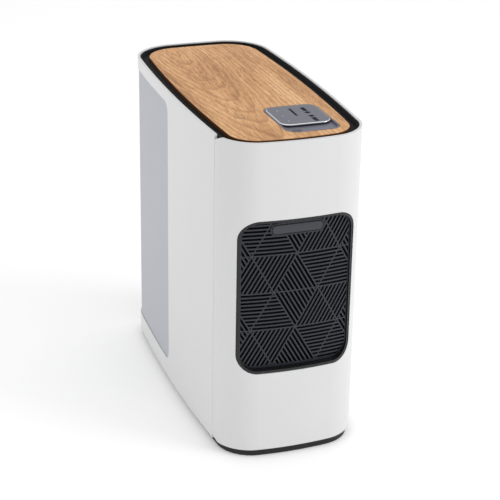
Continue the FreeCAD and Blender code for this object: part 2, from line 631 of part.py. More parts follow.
def make_top():
    """The black dished bezel, the veneered lid that lies in it and the charging coil under the lid."""
    inset = "shell_wall + fit_gap"
    blank = bowed("bezel_blank", inset, inset, inset, "chassis_top", "lid_top")
    # The dish widens upwards: it is drawn at the bezel floor, in by the lip and by the run of the slope.
    run = "bezel_drop * tan(bezel_slope * 1deg)"
    foot = f"{inset} + bezel_lip + {run}"
    dish = bowed("bezel_dish", foot, foot, foot, "bezel_floor", "lid_top", taper="bezel_slope")
    seat = bowed("lid_seat", "lid_side_inset - fit_gap", "lid_front_inset - fit_gap",
                 "lid_rear_inset - fit_gap", "lid_bottom", "lid_top + 1")
    part(cut("bezel", blank, dish, seat, port_well, button_hole), "top_bezel")

    lid = bowed("lid_blank", "lid_side_inset", "lid_front_inset", "lid_rear_inset", "lid_bottom", "lid_top")
    coil_pocket = rod("coil_pocket", "z", ("coil_column", "coil_y"), "coil_radius + 1",
                      "lid_bottom - 1", "lid_bottom + coil_thick + 0.2")
    part(cut("lid", lid, tray_pocket, coil_pocket), "wood_lid")

    coil = rod("coil_disc", "z", ("coil_column", "coil_y"), "coil_radius",
               "lid_bottom", "lid_bottom + coil_thick")
    eye = rod("coil_hole", "z", ("coil_column", "coil_y"), "coil_eye", "lid_bottom - 1",
              "lid_bottom + coil_thick + 1")
    part(cut("coil", coil, eye), "charging_coil")


# ---------------------------------------------------------------- port block on the top
def make_ports():
    """Grey tray let into the lid, silver block with its sockets, status lights and the board below."""
    shell = plate("tray_shell", "XY_Plane", ("tray_left", "tray_right"), ("tray_near", "tray_far"),
                  "tray_corner", "lid_bottom", "lid_top")
    hollow = plate("tray_hollow", "XY_Plane", ("tray_left + tray_wall", "tray_right - tray_wall"),
                   ("tray_near + tray_wall", "tray_far - tray_wall"), "tray_corner - tray_wall",
                   "tray_deck", "lid_top + 1")
    part(cut("tray", shell, hollow, port_well, button_hole), "port_tray")

    body = plate("block_body", "XY_Plane", ("block_left", "block_right"), ("block_near", "block_far"),
                 "tray_corner - tray_wall - fit_gap", "tray_deck", "block_top")
    holes = []
    for index in range(2):
        y = f"usb_near + {index} * usb_spacing"
        holes.append(block(f"usb_hole{index}",
                           ("port_column - usb_short / 2 - 0.1", "port_column + usb_short / 2 + 0.1"),
                           (f"{y} - usb_long / 2 - 0.1", f"{y} + usb_long / 2 + 0.1"),
                           ("tray_deck - 1", "block_top + 1")))
        holes.append(rod(f"jack_hole{index}", "z", ("port_column", f"jack_near + {index} * jack_spacing"),
                         "jack_radius + 0.1", "tray_deck - 1", "block_top + 1"))
    holes.append(block("card_hole",
                       ("card_column - card_short / 2 - 0.1", "card_column + card_short / 2 + 0.1"),
                       ("card_mid - card_long / 2 - 0.1", "card_mid + card_long / 2 + 0.1"),
                       ("tray_deck - 1", "block_top + 1")))
    spots = [("light_column", f"light_near + {index} * light_spacing")
             for index in range(int(value("light_count")))]
    for index, spot in enumerate(spots):
        holes.append(rod(f"light_hole{index}", "z", spot, "light_radius + 0.05",
                         "tray_deck - 1", "block_top + 1"))
    part(cut("block", body, *holes), "port_block")
    lights = [rod(f"light{index}", "z", spot, "light_radius", "tray_deck", "block_top + 0.1")
              for index, spot in enumerate(spots)]
    part(group("lights", lights), "status_lights")

    sockets, tongues = [], []
    for index in range(2):
        y = f"usb_near + {index} * usb_spacing"
        can = block(f"usb_can{index}", ("port_column - usb_short / 2", "port_column + usb_short / 2"),
                    (f"{y} - usb_long / 2", f"{y} + usb_long / 2"), ("port_board_top", "block_top - 0.3"))
        bore = block(f"usb_bore{index}",
                     ("port_column - usb_short / 2 + usb_sheet", "port_column + usb_short / 2 - usb_sheet"),
                     (f"{y} - usb_long / 2 + usb_sheet", f"{y} + usb_long / 2 - usb_sheet"),
                     ("port_board_top + 2", "block_top"))
        sockets.append(cut(f"usb_shell{index}", can, bore))
        tongues.append(block(f"usb_tongue{index}", ("port_column - 0.2", "port_column + 1.6"),
                             (f"{y} - 5.3", f"{y} + 5.3"), ("port_board_top + 2", "block_top - 1.5")))
    part(group("usb_shells", sockets), "usb_sockets")
    part(group("usb_tongues", tongues), "usb_contacts")

    jacks = []
    for index in range(2):
        spot = ("port_column", f"jack_near + {index} * jack_spacing")
        barrel = rod(f"jack_barrel{index}", "z", spot, "jack_radius", "port_board_top", "block_top - 0.3")
        bore = rod(f"jack_bore{index}", "z", spot, "jack_bore", "block_top - 0.3 - jack_depth", "block_top")
        jacks.append(cut(f"jack{index}", barrel, bore))
    part(group("jacks", jacks), "audio_jacks")

    cage = block("card_cage", ("card_column - card_short / 2", "card_column + card_short / 2"),
                 ("card_mid - card_long / 2", "card_mid + card_long / 2"),
                 ("port_board_top", "block_top - 0.3"))
    mouth = block("card_mouth", ("card_column - card_short / 2 + card_sheet",
                                 "card_column + card_short / 2 - card_sheet"),
                  ("card_mid - card_long / 2 + card_sheet", "card_mid + card_long / 2 - card_sheet"),
                  ("port_board_top + 2", "block_top"))
    part(cut("card_reader", cage, mouth), "card_slot")

    part(block("port_circuit", ("tray_left + 6", "tray_right - 3"), ("block_near + 1", "block_far"),
               ("port_board_bottom", "port_board_top")), "port_board")
    hangers = []
    corners = (("tray_left + 10", "block_near + 5"), ("tray_right - 7", "block_near + 5"),
               ("tray_right - 7", "block_far - 4"), ("tray_left + 10", "block_far - 4"))
    for index, (x, y) in enumerate(corners):
        hangers.append(rod(f"hanger{index}", "z", (x, y), "2.5", "port_board_top", "chassis_ceiling"))
    return hangers


# ---------------------------------------------------------------- power button
def make_button():
    """A pill-shaped key in the finger scoop, on a stem that presses a small switch."""
    cap = pill("button_cap", "z", ("button_column", "button_y"), "button_length", "button_width",
               "button_foot", "button_top")
    stem = rod("button_stem", "z", ("button_column", "button_y"), "2", "stem_foot", "button_foot")
    part(fuse("button", cap, stem), "power_button")
    base = block("switch_circuit", ("button_column - 12", "button_column + 12"),
                 ("button_y - 5", "chassis_front - 1"),
                 ("switch_board_top - circuit_board", "switch_board_top"))
    body = block("switch_body", ("button_column - 3", "button_column + 3"), ("button_y - 3", "button_y + 3"),
                 ("switch_board_top", "switch_top"))
    posts = [rod(f"switch_post{index}", "z", (f"button_column + ({side}) * 9", "button_y"), "2",
                 "switch_board_top", "chassis_top") for index, side in enumerate((-1, 1))]
    part(fuse("switch", base, body, *posts), "power_switch")


# ---------------------------------------------------------------- front cover
def clip(polygon, point, inward):
    """The part of a polygon on the inner side of a line."""
    kept = []
    depth = [(x - point[0]) * inward[0] + (y - point[1]) * inward[1] for x, y in polygon]
    for index, (x, y) in enumerate(polygon):
        here, before = depth[index], depth[index - 1]
        if (here > 0) != (before > 0):
            px, py = polygon[index - 1]
            share = before / (before - here)
            kept.append((px + share * (x - px), py + share * (y - py)))
        if here > 0:
            kept.append((x, y))
    return kept


def triangle(centre, base_level, upward):
    """Corners of a lattice triangle, anticlockwise, from its centre line and its base level."""
    side = value("grille_cell")
    height = side * math.sqrt(3) / 2
    if upward:
        return [(centre - side / 2, base_level), (centre + side / 2, base_level),
                (centre, base_level + height)]
    top = base_level + height
    return [(centre + side / 2, top), (centre - side / 2, top), (centre, base_level)]


# Slat direction of each triangle, by its place in a row of six: 0 level, 60 rising, 120 falling.
SLATS = {"odd": (120, 60, 60, 120, 0, 0), "even": (120, 0, 0, 120, 60, 60)}


def slot_outlines():
    """Outlines of all slots in the lattice, in front view."""
    cell = value("grille_cell")
    row_height = cell * math.sqrt(3) / 2
    pitch = row_height / value("slots_per_cell")
    ridge, width = value("grille_ridge"), value("slot_width")
    top_row = value("window_top") + ridge / 2
    half = value("window_width / 2")
    outlines = []
    for row in range(5):
        base = top_row - (row + 1) * row_height
        kind = "odd" if row % 2 == 0 else "even"
        reach = int(half / (cell / 2)) + 2
        for place in range(-reach, reach + 1):
            upward = (place % 2 == 0) == (kind == "even")
            corners = triangle(place * cell / 2, base, upward)
            field = corners
            for index in range(3):
                (x, y), (nx, ny) = corners[index], corners[(index + 1) % 3]
                length = math.hypot(nx - x, ny - y)
                inward = (-(ny - y) / length, (nx - x) / length)
                field = clip(field, (x + inward[0] * ridge / 2, y + inward[1] * ridge / 2), inward)
            angle = math.radians(SLATS[kind][place % 6])
            across = (-math.sin(angle), math.cos(angle))
            anchor = corners[2] if angle == 0 else corners[0]
            for step in range(-2 * int(value("slots_per_cell")), 2 * int(value("slots_per_cell"))):
                middle = (step + 0.5) * pitch
                low = tuple(anchor[axis] + across[axis] * (middle - width / 2) for axis in range(2))
                high = tuple(anchor[axis] + across[axis] * (middle + width / 2) for axis in range(2))
                outline = clip(clip(field, low, across), high, (-across[0], -across[1])) if field else []
                if len(outline) >= 3 and polygon_area(outline) > 1.5:
                    outlines.append(outline)
    return outlines


def polygon_area(points):
    """Area of a plane polygon."""
    pairs = zip(points, points[1:] + points[:1])
    return abs(sum(x * ny - nx * y for (x, y), (nx, ny) in pairs)) / 2


def make_front():
    """Frame in the window, bowed grille with its triangular slats, pill plate and dust filter."""
    gap = "fit_gap"
    outer = plate("frame_outer", "XZ_Plane", (f"-window_width / 2 + {gap}", f"window_width / 2 - {gap}"),
                  (f"window_sill + {gap}", f"window_top - {gap}"), f"window_corner - {gap}",
                  "front_face - 2", "frame_back")
    edge = "fit_gap + frame_wall"
    inner = plate("frame_inner", "XZ_Plane", (f"-window_width / 2 + {edge}", f"window_width / 2 - ({edge})"),
                  (f"window_sill + {edge}", f"window_top - ({edge})"), f"window_corner - ({edge})",
                  "front_face - 3", "frame_back + 1")
    face = bowed("frame_face", "frame_recess", "frame_recess", "frame_recess",
                 "window_sill - 5", "window_top + 5")
    part(common("frame", cut("frame_tube", outer, inner), face), "grille_frame")

    edge = "2 * fit_gap + frame_wall"
    field = plate("grille_field", "XZ_Plane", (f"-window_width / 2 + {edge}", f"window_width / 2 - ({edge})"),
                  (f"window_sill + {edge}", f"window_top - ({edge})"), f"window_corner - ({edge})",
                  "front_face - 2", "frame_back")
    axis_spot = ("0", "front_face + front_bow")
    outside = rod("grille_outside", "z", axis_spot, "front_bow - grille_recess",
                  "window_sill - 5", "window_top + 5")
    inside = rod("grille_inside", "z", axis_spot, "front_bow - grille_recess - grille_thick",
                 "window_sill - 6", "window_top + 6")
    blank = common("grille_blank", field, cut("grille_skin", outside, inside))

    edge = "2 * fit_gap + frame_wall + 1.5"
    slot_field = plate("slot_field", "XZ_Plane",
                       (f"-window_width / 2 + {edge}", f"window_width / 2 - ({edge})"),
                       (f"window_sill + {edge}", f"window_top - ({edge})"), f"window_corner - ({edge})",
                       "front_face - 2", "frame_back")
    prisms = []
    start = value("front_face")
    for outline in slot_outlines():
        points = [FreeCAD.Vector(x, start, z) for x, z in outline]
        face = Part.Face(Part.makePolygon(points + points[:1]))
        prisms.append(face.extrude(FreeCAD.Vector(0, value("frame_depth") + 5, 0)))
    slots = doc.addObject("Part::Feature", "slots")
    slots.Shape = Part.makeCompound(prisms)
    ring_spot = ("0", "badge_level")
    badge_face = "front_face + grille_recess"
    ring = pill("badge_boss", "y", ring_spot, "badge_length + 2 * badge_ring",
                "badge_height + 2 * badge_ring", f"{badge_face} + 0.4", f"{badge_face} + grille_thick + 1.5")
    pocket = pill("badge_pocket", "y", ring_spot, "badge_length + fit_gap", "badge_height + fit_gap",
                  f"{badge_face} - 5", f"{badge_face} + badge_thick")
    slotted = cut("grille_slotted", blank, common("slot_tools", slots, slot_field))
    part(cut("grille", fuse("grille_bossed", slotted, ring), pocket), "front_grille")
    part(pill("badge", "y", ring_spot, "badge_length", "badge_height", f"{badge_face} - 0.1",
              f"{badge_face} + badge_thick"), "badge_plate")
    edge = "2 * fit_gap + frame_wall"
    part(plate("filter", "XZ_Plane", (f"-window_width / 2 + {edge}", f"window_width / 2 - ({edge})"),
               (f"window_sill + {edge}", f"window_top - ({edge})"), f"window_corner - ({edge})",
               "frame_back - filter_thick", "frame_back"), "dust_filter")


# ---------------------------------------------------------------- chassis
REAR_SCREWS = square(("rear_fan_x", "rear_fan_z"), "rear_fan_size - 8.5") + [
    (f"({side}) * (supply_width / 2 - 7)", level) for side in (-1, 1)
    for level in ("chassis_floor + 12", "supply_top - 12")]


def make_chassis():
    """Folded steel box, open to the left: floor, top, right wall, front and rear plates."""
    across = ("-chassis_half", "chassis_half")
    part(block("floor_sheet", across, ("chassis_front", "chassis_rear + sheet_metal"),
               ("flange_top", "chassis_floor")), "chassis_floor")
    top = block("top_sheet", across, ("chassis_front", "chassis_rear + sheet_metal"),
                ("chassis_ceiling", "chassis_top"))
    part(cut("top_punched", top, port_well), "chassis_top")
    inner = ("chassis_floor", "chassis_ceiling")
    part(block("right_sheet", ("board_wall", "chassis_half"), ("chassis_front + sheet_metal", "chassis_rear"),
               inner), "board_wall")
    front = block("front_sheet", across, ("chassis_front", "chassis_front + sheet_metal"), inner)
    mouth = block("front_mouth", ("-bay_width / 2 - 2", "bay_width / 2 + 2"), ("chassis_front - 1",
                  "chassis_front + 5"), ("bay_floor - 2", "bay_roof + 2"))
    part(cut("front_punched", front, mouth), "chassis_front")
    rear = block("rear_sheet", across, ("chassis_rear", "chassis_rear + sheet_metal"), inner)
    ports = block("ports_mouth", ("board_face - 24", "board_face + 1"),
                  ("chassis_rear - 1", "chassis_rear + 5"), ("board_bottom + 4", "board_top - 4"))
    supply = block("supply_mouth", ("-supply_width / 2 + 12", "supply_width / 2 - 12"),
                   ("chassis_rear - 1", "chassis_rear + 5"), ("chassis_floor + 4", "supply_top - 4"))
    fan_ring = rod("fan_mouth", "y", ("rear_fan_x", "rear_fan_z"), "rear_fan_size / 2 - 3",
                   "chassis_rear - 1", "chassis_rear + 5")
    guard_bars = [block(f"guard_bar{index}",
                        (f"rear_fan_x + ({step}) * 9 - 1", f"rear_fan_x + ({step}) * 9 + 1"),
                        ("chassis_rear", "chassis_rear + sheet_metal"),
                        ("rear_fan_z - rear_fan_size / 2", "rear_fan_z + rear_fan_size / 2"))
                  for index, step in enumerate(range(-3, 4))]
    screw_holes = [rod(f"rear_screw_hole{index}", "y", spot, "screw_radius + 0.1", "chassis_rear - 1",
                       "chassis_rear + 5") for index, spot in enumerate(REAR_SCREWS)]
    punched = cut("rear_punched", rear, ports, supply, fan_ring, *screw_holes)
    part(fuse("rear_guarded", punched, *guard_bars), "chassis_rear")

    hole_half = "rear_opening_width / 2 - fit_gap"
    low, high = "rear_opening_low + fit_gap", "rear_opening_high - fit_gap"
    outer = plate("shroud_outer", "XZ_Plane", (f"-({hole_half})", hole_half), (low, high),
                  "rear_opening_corner - fit_gap", "chassis_rear + sheet_metal", "rear_face")
    wall = "shroud_wall"
    inner = plate("shroud_inner", "XZ_Plane", (f"-({hole_half}) + {wall}", f"{hole_half} - {wall}"),
                  (f"{low} + {wall}", f"{high} - {wall}"), f"rear_opening_corner - fit_gap - {wall}",
                  "chassis_rear", "rear_face + 1")
    face = bowed("shroud_face", "frame_recess", "frame_recess", "frame_recess", "shell_lift", "case_height")
    part(common("shroud", cut("shroud_tube", outer, inner), face), "rear_shroud")


# ---------------------------------------------------------------- drive bays
def make_bays():
    """Cage with its runners, sleds with their drives, backplane with a plug per bay."""
    bays = range(int(value("bay_count")))
    length = ("chassis_front + sheet_metal", "bay_fan_rear")
    sheets = []
    for word, sheet, runner in (
            ("left", ("-cage_half", "-bay_width / 2"), ("-bay_width / 2", "runner_width - bay_width / 2")),
            ("right", ("bay_width / 2", "cage_half"), ("bay_width / 2 - runner_width", "bay_width / 2"))):
        wall = block(f"cage_{word}", sheet, length, ("chassis_floor", "bay_roof + sheet_metal"))
        runners = [block(f"runner_{word}{bay}", runner, ("chassis_front + sheet_metal", "drive_rear - 10"),
                         (f"bay_floor + {bay} * bay_pitch - sheet_metal", f"bay_floor + {bay} * bay_pitch"))
                   for bay in bays]
        sheets.append(fuse(f"cage_side_{word}", wall, *runners))
    sheets.append(block("cage_roof", ("-bay_width / 2", "bay_width / 2"), length,
                        ("bay_roof", "bay_roof + sheet_metal")))
    part(group("cage", sheets), "drive_cage")

    plugs = []
    for bay in bays:
        floor = f"bay_floor + {bay} * bay_pitch + fit_gap"
        rail = "bay_width / 2 - fit_gap"
        deck = f"{floor} + sled_sheet"
        face = plate(f"sled_face{bay}", "XZ_Plane", (f"-({rail})", rail),
                     (floor, f"{floor} + bay_pitch - 1.5"), "2.5",
                     "drive_front - sled_front_thick - fit_gap", "drive_front - fit_gap")
        vents = [block(f"sled_vent{bay}_{step}",
                       (f"-bay_width / 2 + 12 + {step} * 11", f"-bay_width / 2 + 18 + {step} * 11"),
                       ("drive_front - 20", "drive_front + 1"), (f"{floor} + 8", f"{floor} + bay_pitch - 10"))
                 for step in range(8)]
        sheet_floor = block(f"sled_floor{bay}", (f"-({rail})", rail),
                            ("drive_front - fit_gap", "drive_rear - 14"), (floor, deck))
        rails = [block(f"sled_rail{bay}_{word}", x, ("drive_front - fit_gap", "drive_rear - 14"),
                       (floor, f"{floor} + sled_rail_height"))
                 for word, x in (("left", (f"-({rail})", "-drive_width / 2 - fit_gap")),
                                 ("right", ("drive_width / 2 + fit_gap", rail)))]
        sled = fuse(f"sled{bay}", cut(f"sled_front{bay}", face, *vents), sheet_floor, *rails)
        part(sled, f"drive_sled_{bay + 1}")
        drive = plate(f"drive{bay}", "XY_Plane", ("-drive_width / 2", "drive_width / 2"),
                      ("drive_front", "drive_rear"), "3", deck, f"{deck} + drive_height")
        part(drive, f"hard_drive_{bay + 1}")
        plugs.append(block(f"plug{bay}", ("-drive_width / 2 + 12", "-drive_width / 2 + 52"),
                           ("plug_front", "backplane_front"), (f"{deck} + 1", f"{deck} + 8")))
    clear = "bay_width / 2 - fit_gap"
    part(block("backplane_sheet", (f"-({clear})", clear), ("backplane_front", "backplane_rear"),
               ("bay_floor", "bay_roof")), "backplane")
    part(group("plugs", plugs), "drive_plugs")


# ---------------------------------------------------------------- fans
FAN_BLADES = 7


def fan(word, axis, centre, size, low, high):
    """Axial fan: a square frame with a round duct and a motor plate, and a rotor of swept blades."""
    first, second = centre
    over = ((f"({first}) - ({size}) / 2", f"({first}) + ({size}) / 2"),
            (f"({second}) - ({size}) / 2", f"({second}) + ({size}) / 2"))
    span = (low, high)
    x, y, z = (over[0], span, over[1]) if axis == "y" else (span, over[0], over[1])
    body = block(word + "_body", x, y, z)
    duct = rod(word + "_duct", axis, centre, f"({size}) / 2 - 2.5", f"({low}) - 1", f"({high}) + 1")
    motor = rod(word + "_motor", axis, centre, f"({size}) * 0.2", f"({high}) - 2", high)
    arm_low, arm_high = f"({high}) - 2", high
    arms = []
    for index in range(2):
        thin, full = "2", f"(({size}) / 2 - 1)"
        wide = (thin, full) if index == 0 else (full, thin)
        sides = [(f"({middle}) - {reach}", f"({middle}) + {reach}") for middle, reach in zip(centre, wide)]
        x, y, z = (sides[0], (arm_low, arm_high), sides[1]) if axis == "y" else \
            ((arm_low, arm_high), sides[0], sides[1])
        arms.append(block(f"{word}_arm{index}", x, y, z))
    part(fuse(word + "_housing", cut(word + "_ring", body, duct), motor, *arms), word + "_frame")

    rotor = doc.addObject("Part::Feature", word + "_wheel")
    motor_gap, motor_plate = 1.5, 2.0
    height = value(f"({high}) - ({low})") - 2 * motor_gap - motor_plate
    rotor.Shape = rotor_shape(value(f"({size}) * 0.2"), value(f"({size}) / 2 - 4"), height,
                              motor_gap - value("fit_gap"))
    place = {letter: value(text) for letter, text in zip([a for a in "xyz" if a != axis], centre)}
    place[axis] = value(f"({low}) + 1.5")
    rotor.Placement = FreeCAD.Placement(FreeCAD.Vector(place["x"], place["y"], place["z"]), TURNS[axis])
    part(rotor, word + "_rotor")


def rotor_shape(hub, tip, height, bearing):
    """Hub with pitched blades about Z, its lower face at zero, and a bearing boss on its upper face."""
    boss = Part.makeCylinder(hub * 0.4, bearing, FreeCAD.Vector(0, 0, height))
    solid = Part.makeCylinder(hub, height).fuse(boss)
    pitch = math.radians(40)
    for index in range(FAN_BLADES):
        blade = Part.makeBox(tip - hub + 3, height * 0.95 / math.sin(pitch) * 0.55, 1.6,
                             FreeCAD.Vector(hub - 3, -height * 0.26 / math.sin(pitch), -0.8))
        blade.rotate(FreeCAD.Vector(0, 0, 0), FreeCAD.Vector(1, 0, 0), math.degrees(pitch))
        blade.translate(FreeCAD.Vector(0, 0, height / 2))
        blade = blade.common(Part.makeCylinder(tip, height))
        blade.rotate(FreeCAD.Vector(0, 0, 0), FreeCAD.Vector(0, 0, 1), 360.0 * index / FAN_BLADES)
        solid = solid.fuse(blade)
    return solid.removeSplitter()


def make_fans():
    """Fan behind the bays on its plate, fan at the rear, fan on the processor cooler."""
    clear = "bay_width / 2 - fit_gap"
    sheet_plate = block("fan_sheet", (f"-({clear})", clear),
                        ("fan_plate_rear - sheet_metal", "fan_plate_rear"), ("bay_floor", "bay_roof"))
    hole = rod("fan_sheet_hole", "y", ("0", "bay_mid"), "bay_fan_size / 2 - 3",
               "backplane_rear", "bay_fan_rear")
    part(cut("fan_bracket_sheet", sheet_plate, hole), "fan_bracket")
    fan("bay_fan", "y", ("0", "bay_mid"), "bay_fan_size", "fan_plate_rear", "bay_fan_rear")
    fan("rear_fan", "y", ("rear_fan_x", "rear_fan_z"), "rear_fan_size", "rear_fan_front", "chassis_rear")
    fan("cooler_fan", "x", ("cooler_y", "cooler_z"), "cooler_fan_size",
        "cooler_face - cooler_fan_thick", "cooler_face")


# ---------------------------------------------------------------- electronics
# Rear sockets from the bottom up: rise above the lowest, height, reach out from the board.
PORT_ROWS = (
    (0, 14, 17), (18, 15, 17), (37, 15, 17), (56, 16, 14.5), (76, 16, 14.5), (97, 16, 14.5), (118, 18, 13),
)


def make_electronics():
    """Main board on standoffs with processor, cooler, memory and rear ports; power supply below."""
    part(block("board", ("board_face", "board_back"), ("board_front", "board_rear"),
               ("board_bottom", "board_top")), "main_board")
    spots = square(("(board_front + board_rear) / 2", "(board_bottom + board_top) / 2"), "board_side - 14")
    standoffs = [rod(f"standoff{index}", "x", spot, "3", "board_back", "board_wall")
                 for index, spot in enumerate(spots)]
    half = "18.5"
    part(block("chip", ("chip_face", "board_face"), (f"cooler_y - {half}", f"cooler_y + {half}"),
               (f"cooler_z - {half}", f"cooler_z + {half}")), "processor")
    foot = block("cooler_foot", ("chip_face - 5", "chip_face"), ("cooler_y - cooler_side / 2",
                 "cooler_y + cooler_side / 2"), ("cooler_z - cooler_side / 2", "cooler_z + cooler_side / 2"))
    count = int(value("cooler_side") / value("cooler_pitch"))
    fins = [block(f"fin{index}", ("cooler_face", "chip_face - 5"),
                  ("cooler_y - cooler_side / 2", "cooler_y + cooler_side / 2"),
                  (f"cooler_z - cooler_side / 2 + {index} * cooler_pitch",
                   f"cooler_z - cooler_side / 2 + {index} * cooler_pitch + 1.2")) for index in range(count)]
    part(fuse("cooler", foot, *fins), "processor_cooler")

    slots, modules = [], []
    for index in range(2):
        level = f"memory_z + {index} * 9"
        y_mid = "(board_front + board_rear) / 2 - 8"
        slots.append(block(f"memory_slot{index}", ("board_face - 5", "board_face"),
                           (f"{y_mid} - 71", f"{y_mid} + 71"), (f"{level} - 3", f"{level} + 3")))
        modules.append(block(f"memory{index}", ("board_face - 5 - memory_height", "board_face - 5"),
                             (f"{y_mid} - memory_length / 2", f"{y_mid} + memory_length / 2"),
                             (f"{level} - 0.7", f"{level} + 0.7")))
    part(group("memory_sockets", slots), "memory_slots")
    part(group("memory_boards", modules), "memory_modules")

    ports, insert_holes = [], []
    for index, (rise, tall, deep) in enumerate(PORT_ROWS):
        low, high = f"ports_low + {rise}", f"ports_low + {rise + tall}"
        inner = f"board_face - {deep}"
        can = block(f"rear_can{index}", (inner, "board_face"),
                    ("board_rear - 20", "chassis_rear + 5"), (low, high))
        mouth = block(f"rear_mouth{index}", (f"{inner} + 1.2", "board_face - 1.6"),
                      ("board_rear - 14", "chassis_rear + 6"), (f"{low} + 1.2", f"{high} - 1.2"))
        ports.append(cut(f"rear_port{index}", can, mouth))
        insert_holes.append(block(f"insert_hole{index}", (f"{inner} - fit_gap", "board_face + 2"),
                                  ("chassis_rear - 1", "chassis_rear + 5"),
                                  (f"{low} - fit_gap", f"{high} + fit_gap")))
    part(group("rear_sockets", ports), "rear_ports")
    insert = block("insert_sheet", ("board_face - 24 + fit_gap", "board_face + 1 - fit_gap"),
                   ("chassis_rear", "chassis_rear + sheet_metal"),
                   ("board_bottom + 4 + fit_gap", "board_top - 4 - fit_gap"))
    part(cut("insert", insert, *insert_holes), "port_shield")

    case = block("supply_box", ("-supply_width / 2", "supply_width / 2"), ("supply_front", "chassis_rear"),
                 ("chassis_floor", "supply_top"))
    hollow = block("supply_hollow", ("-supply_width / 2 + sheet_metal", "supply_width / 2 - sheet_metal"),
                   ("supply_front + sheet_metal", "chassis_rear - sheet_metal"),
                   ("chassis_floor + sheet_metal", "supply_top - sheet_metal"))
    inlet_x = ("-supply_width / 2 + 14", "-supply_width / 2 + 42")
    inlet_z = ("chassis_floor + 22", "chassis_floor + 42")
    inlet_hole = block("inlet_hole", inlet_x, ("chassis_rear - 5", "chassis_rear + 1"), inlet_z)
    slits = [block(f"supply_slit{index}", (f"-2 + {index} * 6", f"2 + {index} * 6"),
                   ("chassis_rear - 5", "chassis_rear + 1"), ("chassis_floor + 12", "supply_top - 12"))
             for index in range(9)]
    part(cut("supply", case, hollow, inlet_hole, *slits), "power_supply")
    gap = "fit_gap"
    shell = block("inlet_shell", (f"{inlet_x[0]} + {gap}", f"{inlet_x[1]} - {gap}"),
                  ("chassis_rear - 20", "chassis_rear + 1"),
                  (f"{inlet_z[0]} + {gap}", f"{inlet_z[1]} - {gap}"))
    well = block("inlet_well", (f"{inlet_x[0]} + 2.5", f"{inlet_x[1]} - 2.5"),
                 ("chassis_rear - 16", "chassis_rear + 2"), (f"{inlet_z[0]} + 2.5", f"{inlet_z[1]} - 2.5"))
    blades = [block(f"blade{index}",
                    (f"-supply_width / 2 + 28 + ({x}) - 1", f"-supply_width / 2 + 28 + ({x}) + 1"),
                    ("chassis_rear - 16.5", "chassis_rear - 5.5"),
                    (f"chassis_floor + 32 + ({z}) - 2", f"chassis_floor + 32 + ({z}) + 2"))
              for index, (x, z) in enumerate(((-7, -2), (0, 2), (7, -2)))]
    part(fuse("inlet", cut("inlet_cup", shell, well), *blades), "mains_inlet")
    return standoffs


def make_fasteners(hangers, standoffs):
    """Standoffs of both boards, and the screws that hold the rear fan and the power supply."""
    part(group("standoff_set", hangers + standoffs), "standoffs")
    rear_set = screws("rear_screw", "y", REAR_SCREWS, "chassis_rear + sheet_metal", "sheet_metal", 1)
    part(rear_set, "rear_screws")


make_shells()
make_base()
make_top()
port_hangers = make_ports()
make_button()
make_front()
make_chassis()
make_bays()
make_fans()
board_supports = make_electronics()
make_fasteners(port_hangers, board_supports)
doc.recompute()

# ---------------------------------------------------------------- checks and files
for thing in doc.Objects:
    if {"Invalid", "Error"} & set(thing.State):
        raise RuntimeError(f"{thing.Name} failed: {thing.State}")
for thing in PARTS:
    if thing.Shape.isNull() or not thing.Shape.isValid():
        raise RuntimeError(f"{thing.Label} has no valid shape")
os.makedirs("parts", exist_ok=True)
for thing in PARTS:
    thing.Shape.exportStep(f"parts/{thing.Label}.step")
    box = thing.Shape.BoundBox
    print(f"{thing.Label:18s} solids {len(thing.Shape.Solids):3d}  volume {thing.Shape.Volume:12.1f}  "
          f"x {box.XMin:8.2f} {box.XMax:8.2f}  y {box.YMin:8.2f} {box.YMax:8.2f}  "
          f"z {box.ZMin:8.2f} {box.ZMax:8.2f}")
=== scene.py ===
import math

import bmesh
import bpy
from mathutils import Matrix, Vector


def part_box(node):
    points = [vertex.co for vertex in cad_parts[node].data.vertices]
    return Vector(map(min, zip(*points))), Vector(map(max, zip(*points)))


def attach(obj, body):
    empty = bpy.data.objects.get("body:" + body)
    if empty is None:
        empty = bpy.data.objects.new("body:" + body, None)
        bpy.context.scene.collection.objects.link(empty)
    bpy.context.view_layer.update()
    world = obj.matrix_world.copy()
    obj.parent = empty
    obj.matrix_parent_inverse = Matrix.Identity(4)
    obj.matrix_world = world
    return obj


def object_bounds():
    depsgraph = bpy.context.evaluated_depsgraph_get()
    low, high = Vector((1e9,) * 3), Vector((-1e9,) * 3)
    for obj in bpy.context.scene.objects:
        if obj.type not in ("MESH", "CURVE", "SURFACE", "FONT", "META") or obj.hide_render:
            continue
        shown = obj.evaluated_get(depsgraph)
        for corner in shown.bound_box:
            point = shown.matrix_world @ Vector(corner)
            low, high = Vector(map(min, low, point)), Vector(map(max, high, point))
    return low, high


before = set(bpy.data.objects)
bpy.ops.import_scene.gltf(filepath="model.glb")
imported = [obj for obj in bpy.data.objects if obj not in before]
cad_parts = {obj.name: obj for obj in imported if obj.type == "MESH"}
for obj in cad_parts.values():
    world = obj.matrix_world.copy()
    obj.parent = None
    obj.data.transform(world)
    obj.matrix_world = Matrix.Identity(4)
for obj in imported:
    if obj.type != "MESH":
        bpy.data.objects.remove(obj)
cad_low, cad_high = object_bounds()

# ---------------------------------------------------------------- studio table and lights
# A lit white acrylic table under one wide soft light from the front right, a weak one from the left and a
# bright room all round. White goods keep their edges on it, and only a faint shadow lies at their foot.
scene = bpy.context.scene
scene.view_settings.view_transform = "Standard"
TABLE_HALF = 60.0
TABLE_GLOW = 0.20
ROOM_LIGHT = 0.74
MOTTLE = 0.333


def colour(hex_code, strength=1.0):
    """An sRGB hex colour as linear RGBA, made stronger or weaker."""
    channels = [int(hex_code[i:i + 2], 16) / 255 for i in (0, 2, 4)]
    linear = [c / 12.92 if c <= 0.04045 else ((c + 0.055) / 1.055) ** 2.4 for c in channels]
    return (*(channel * strength for channel in linear), 1.0)


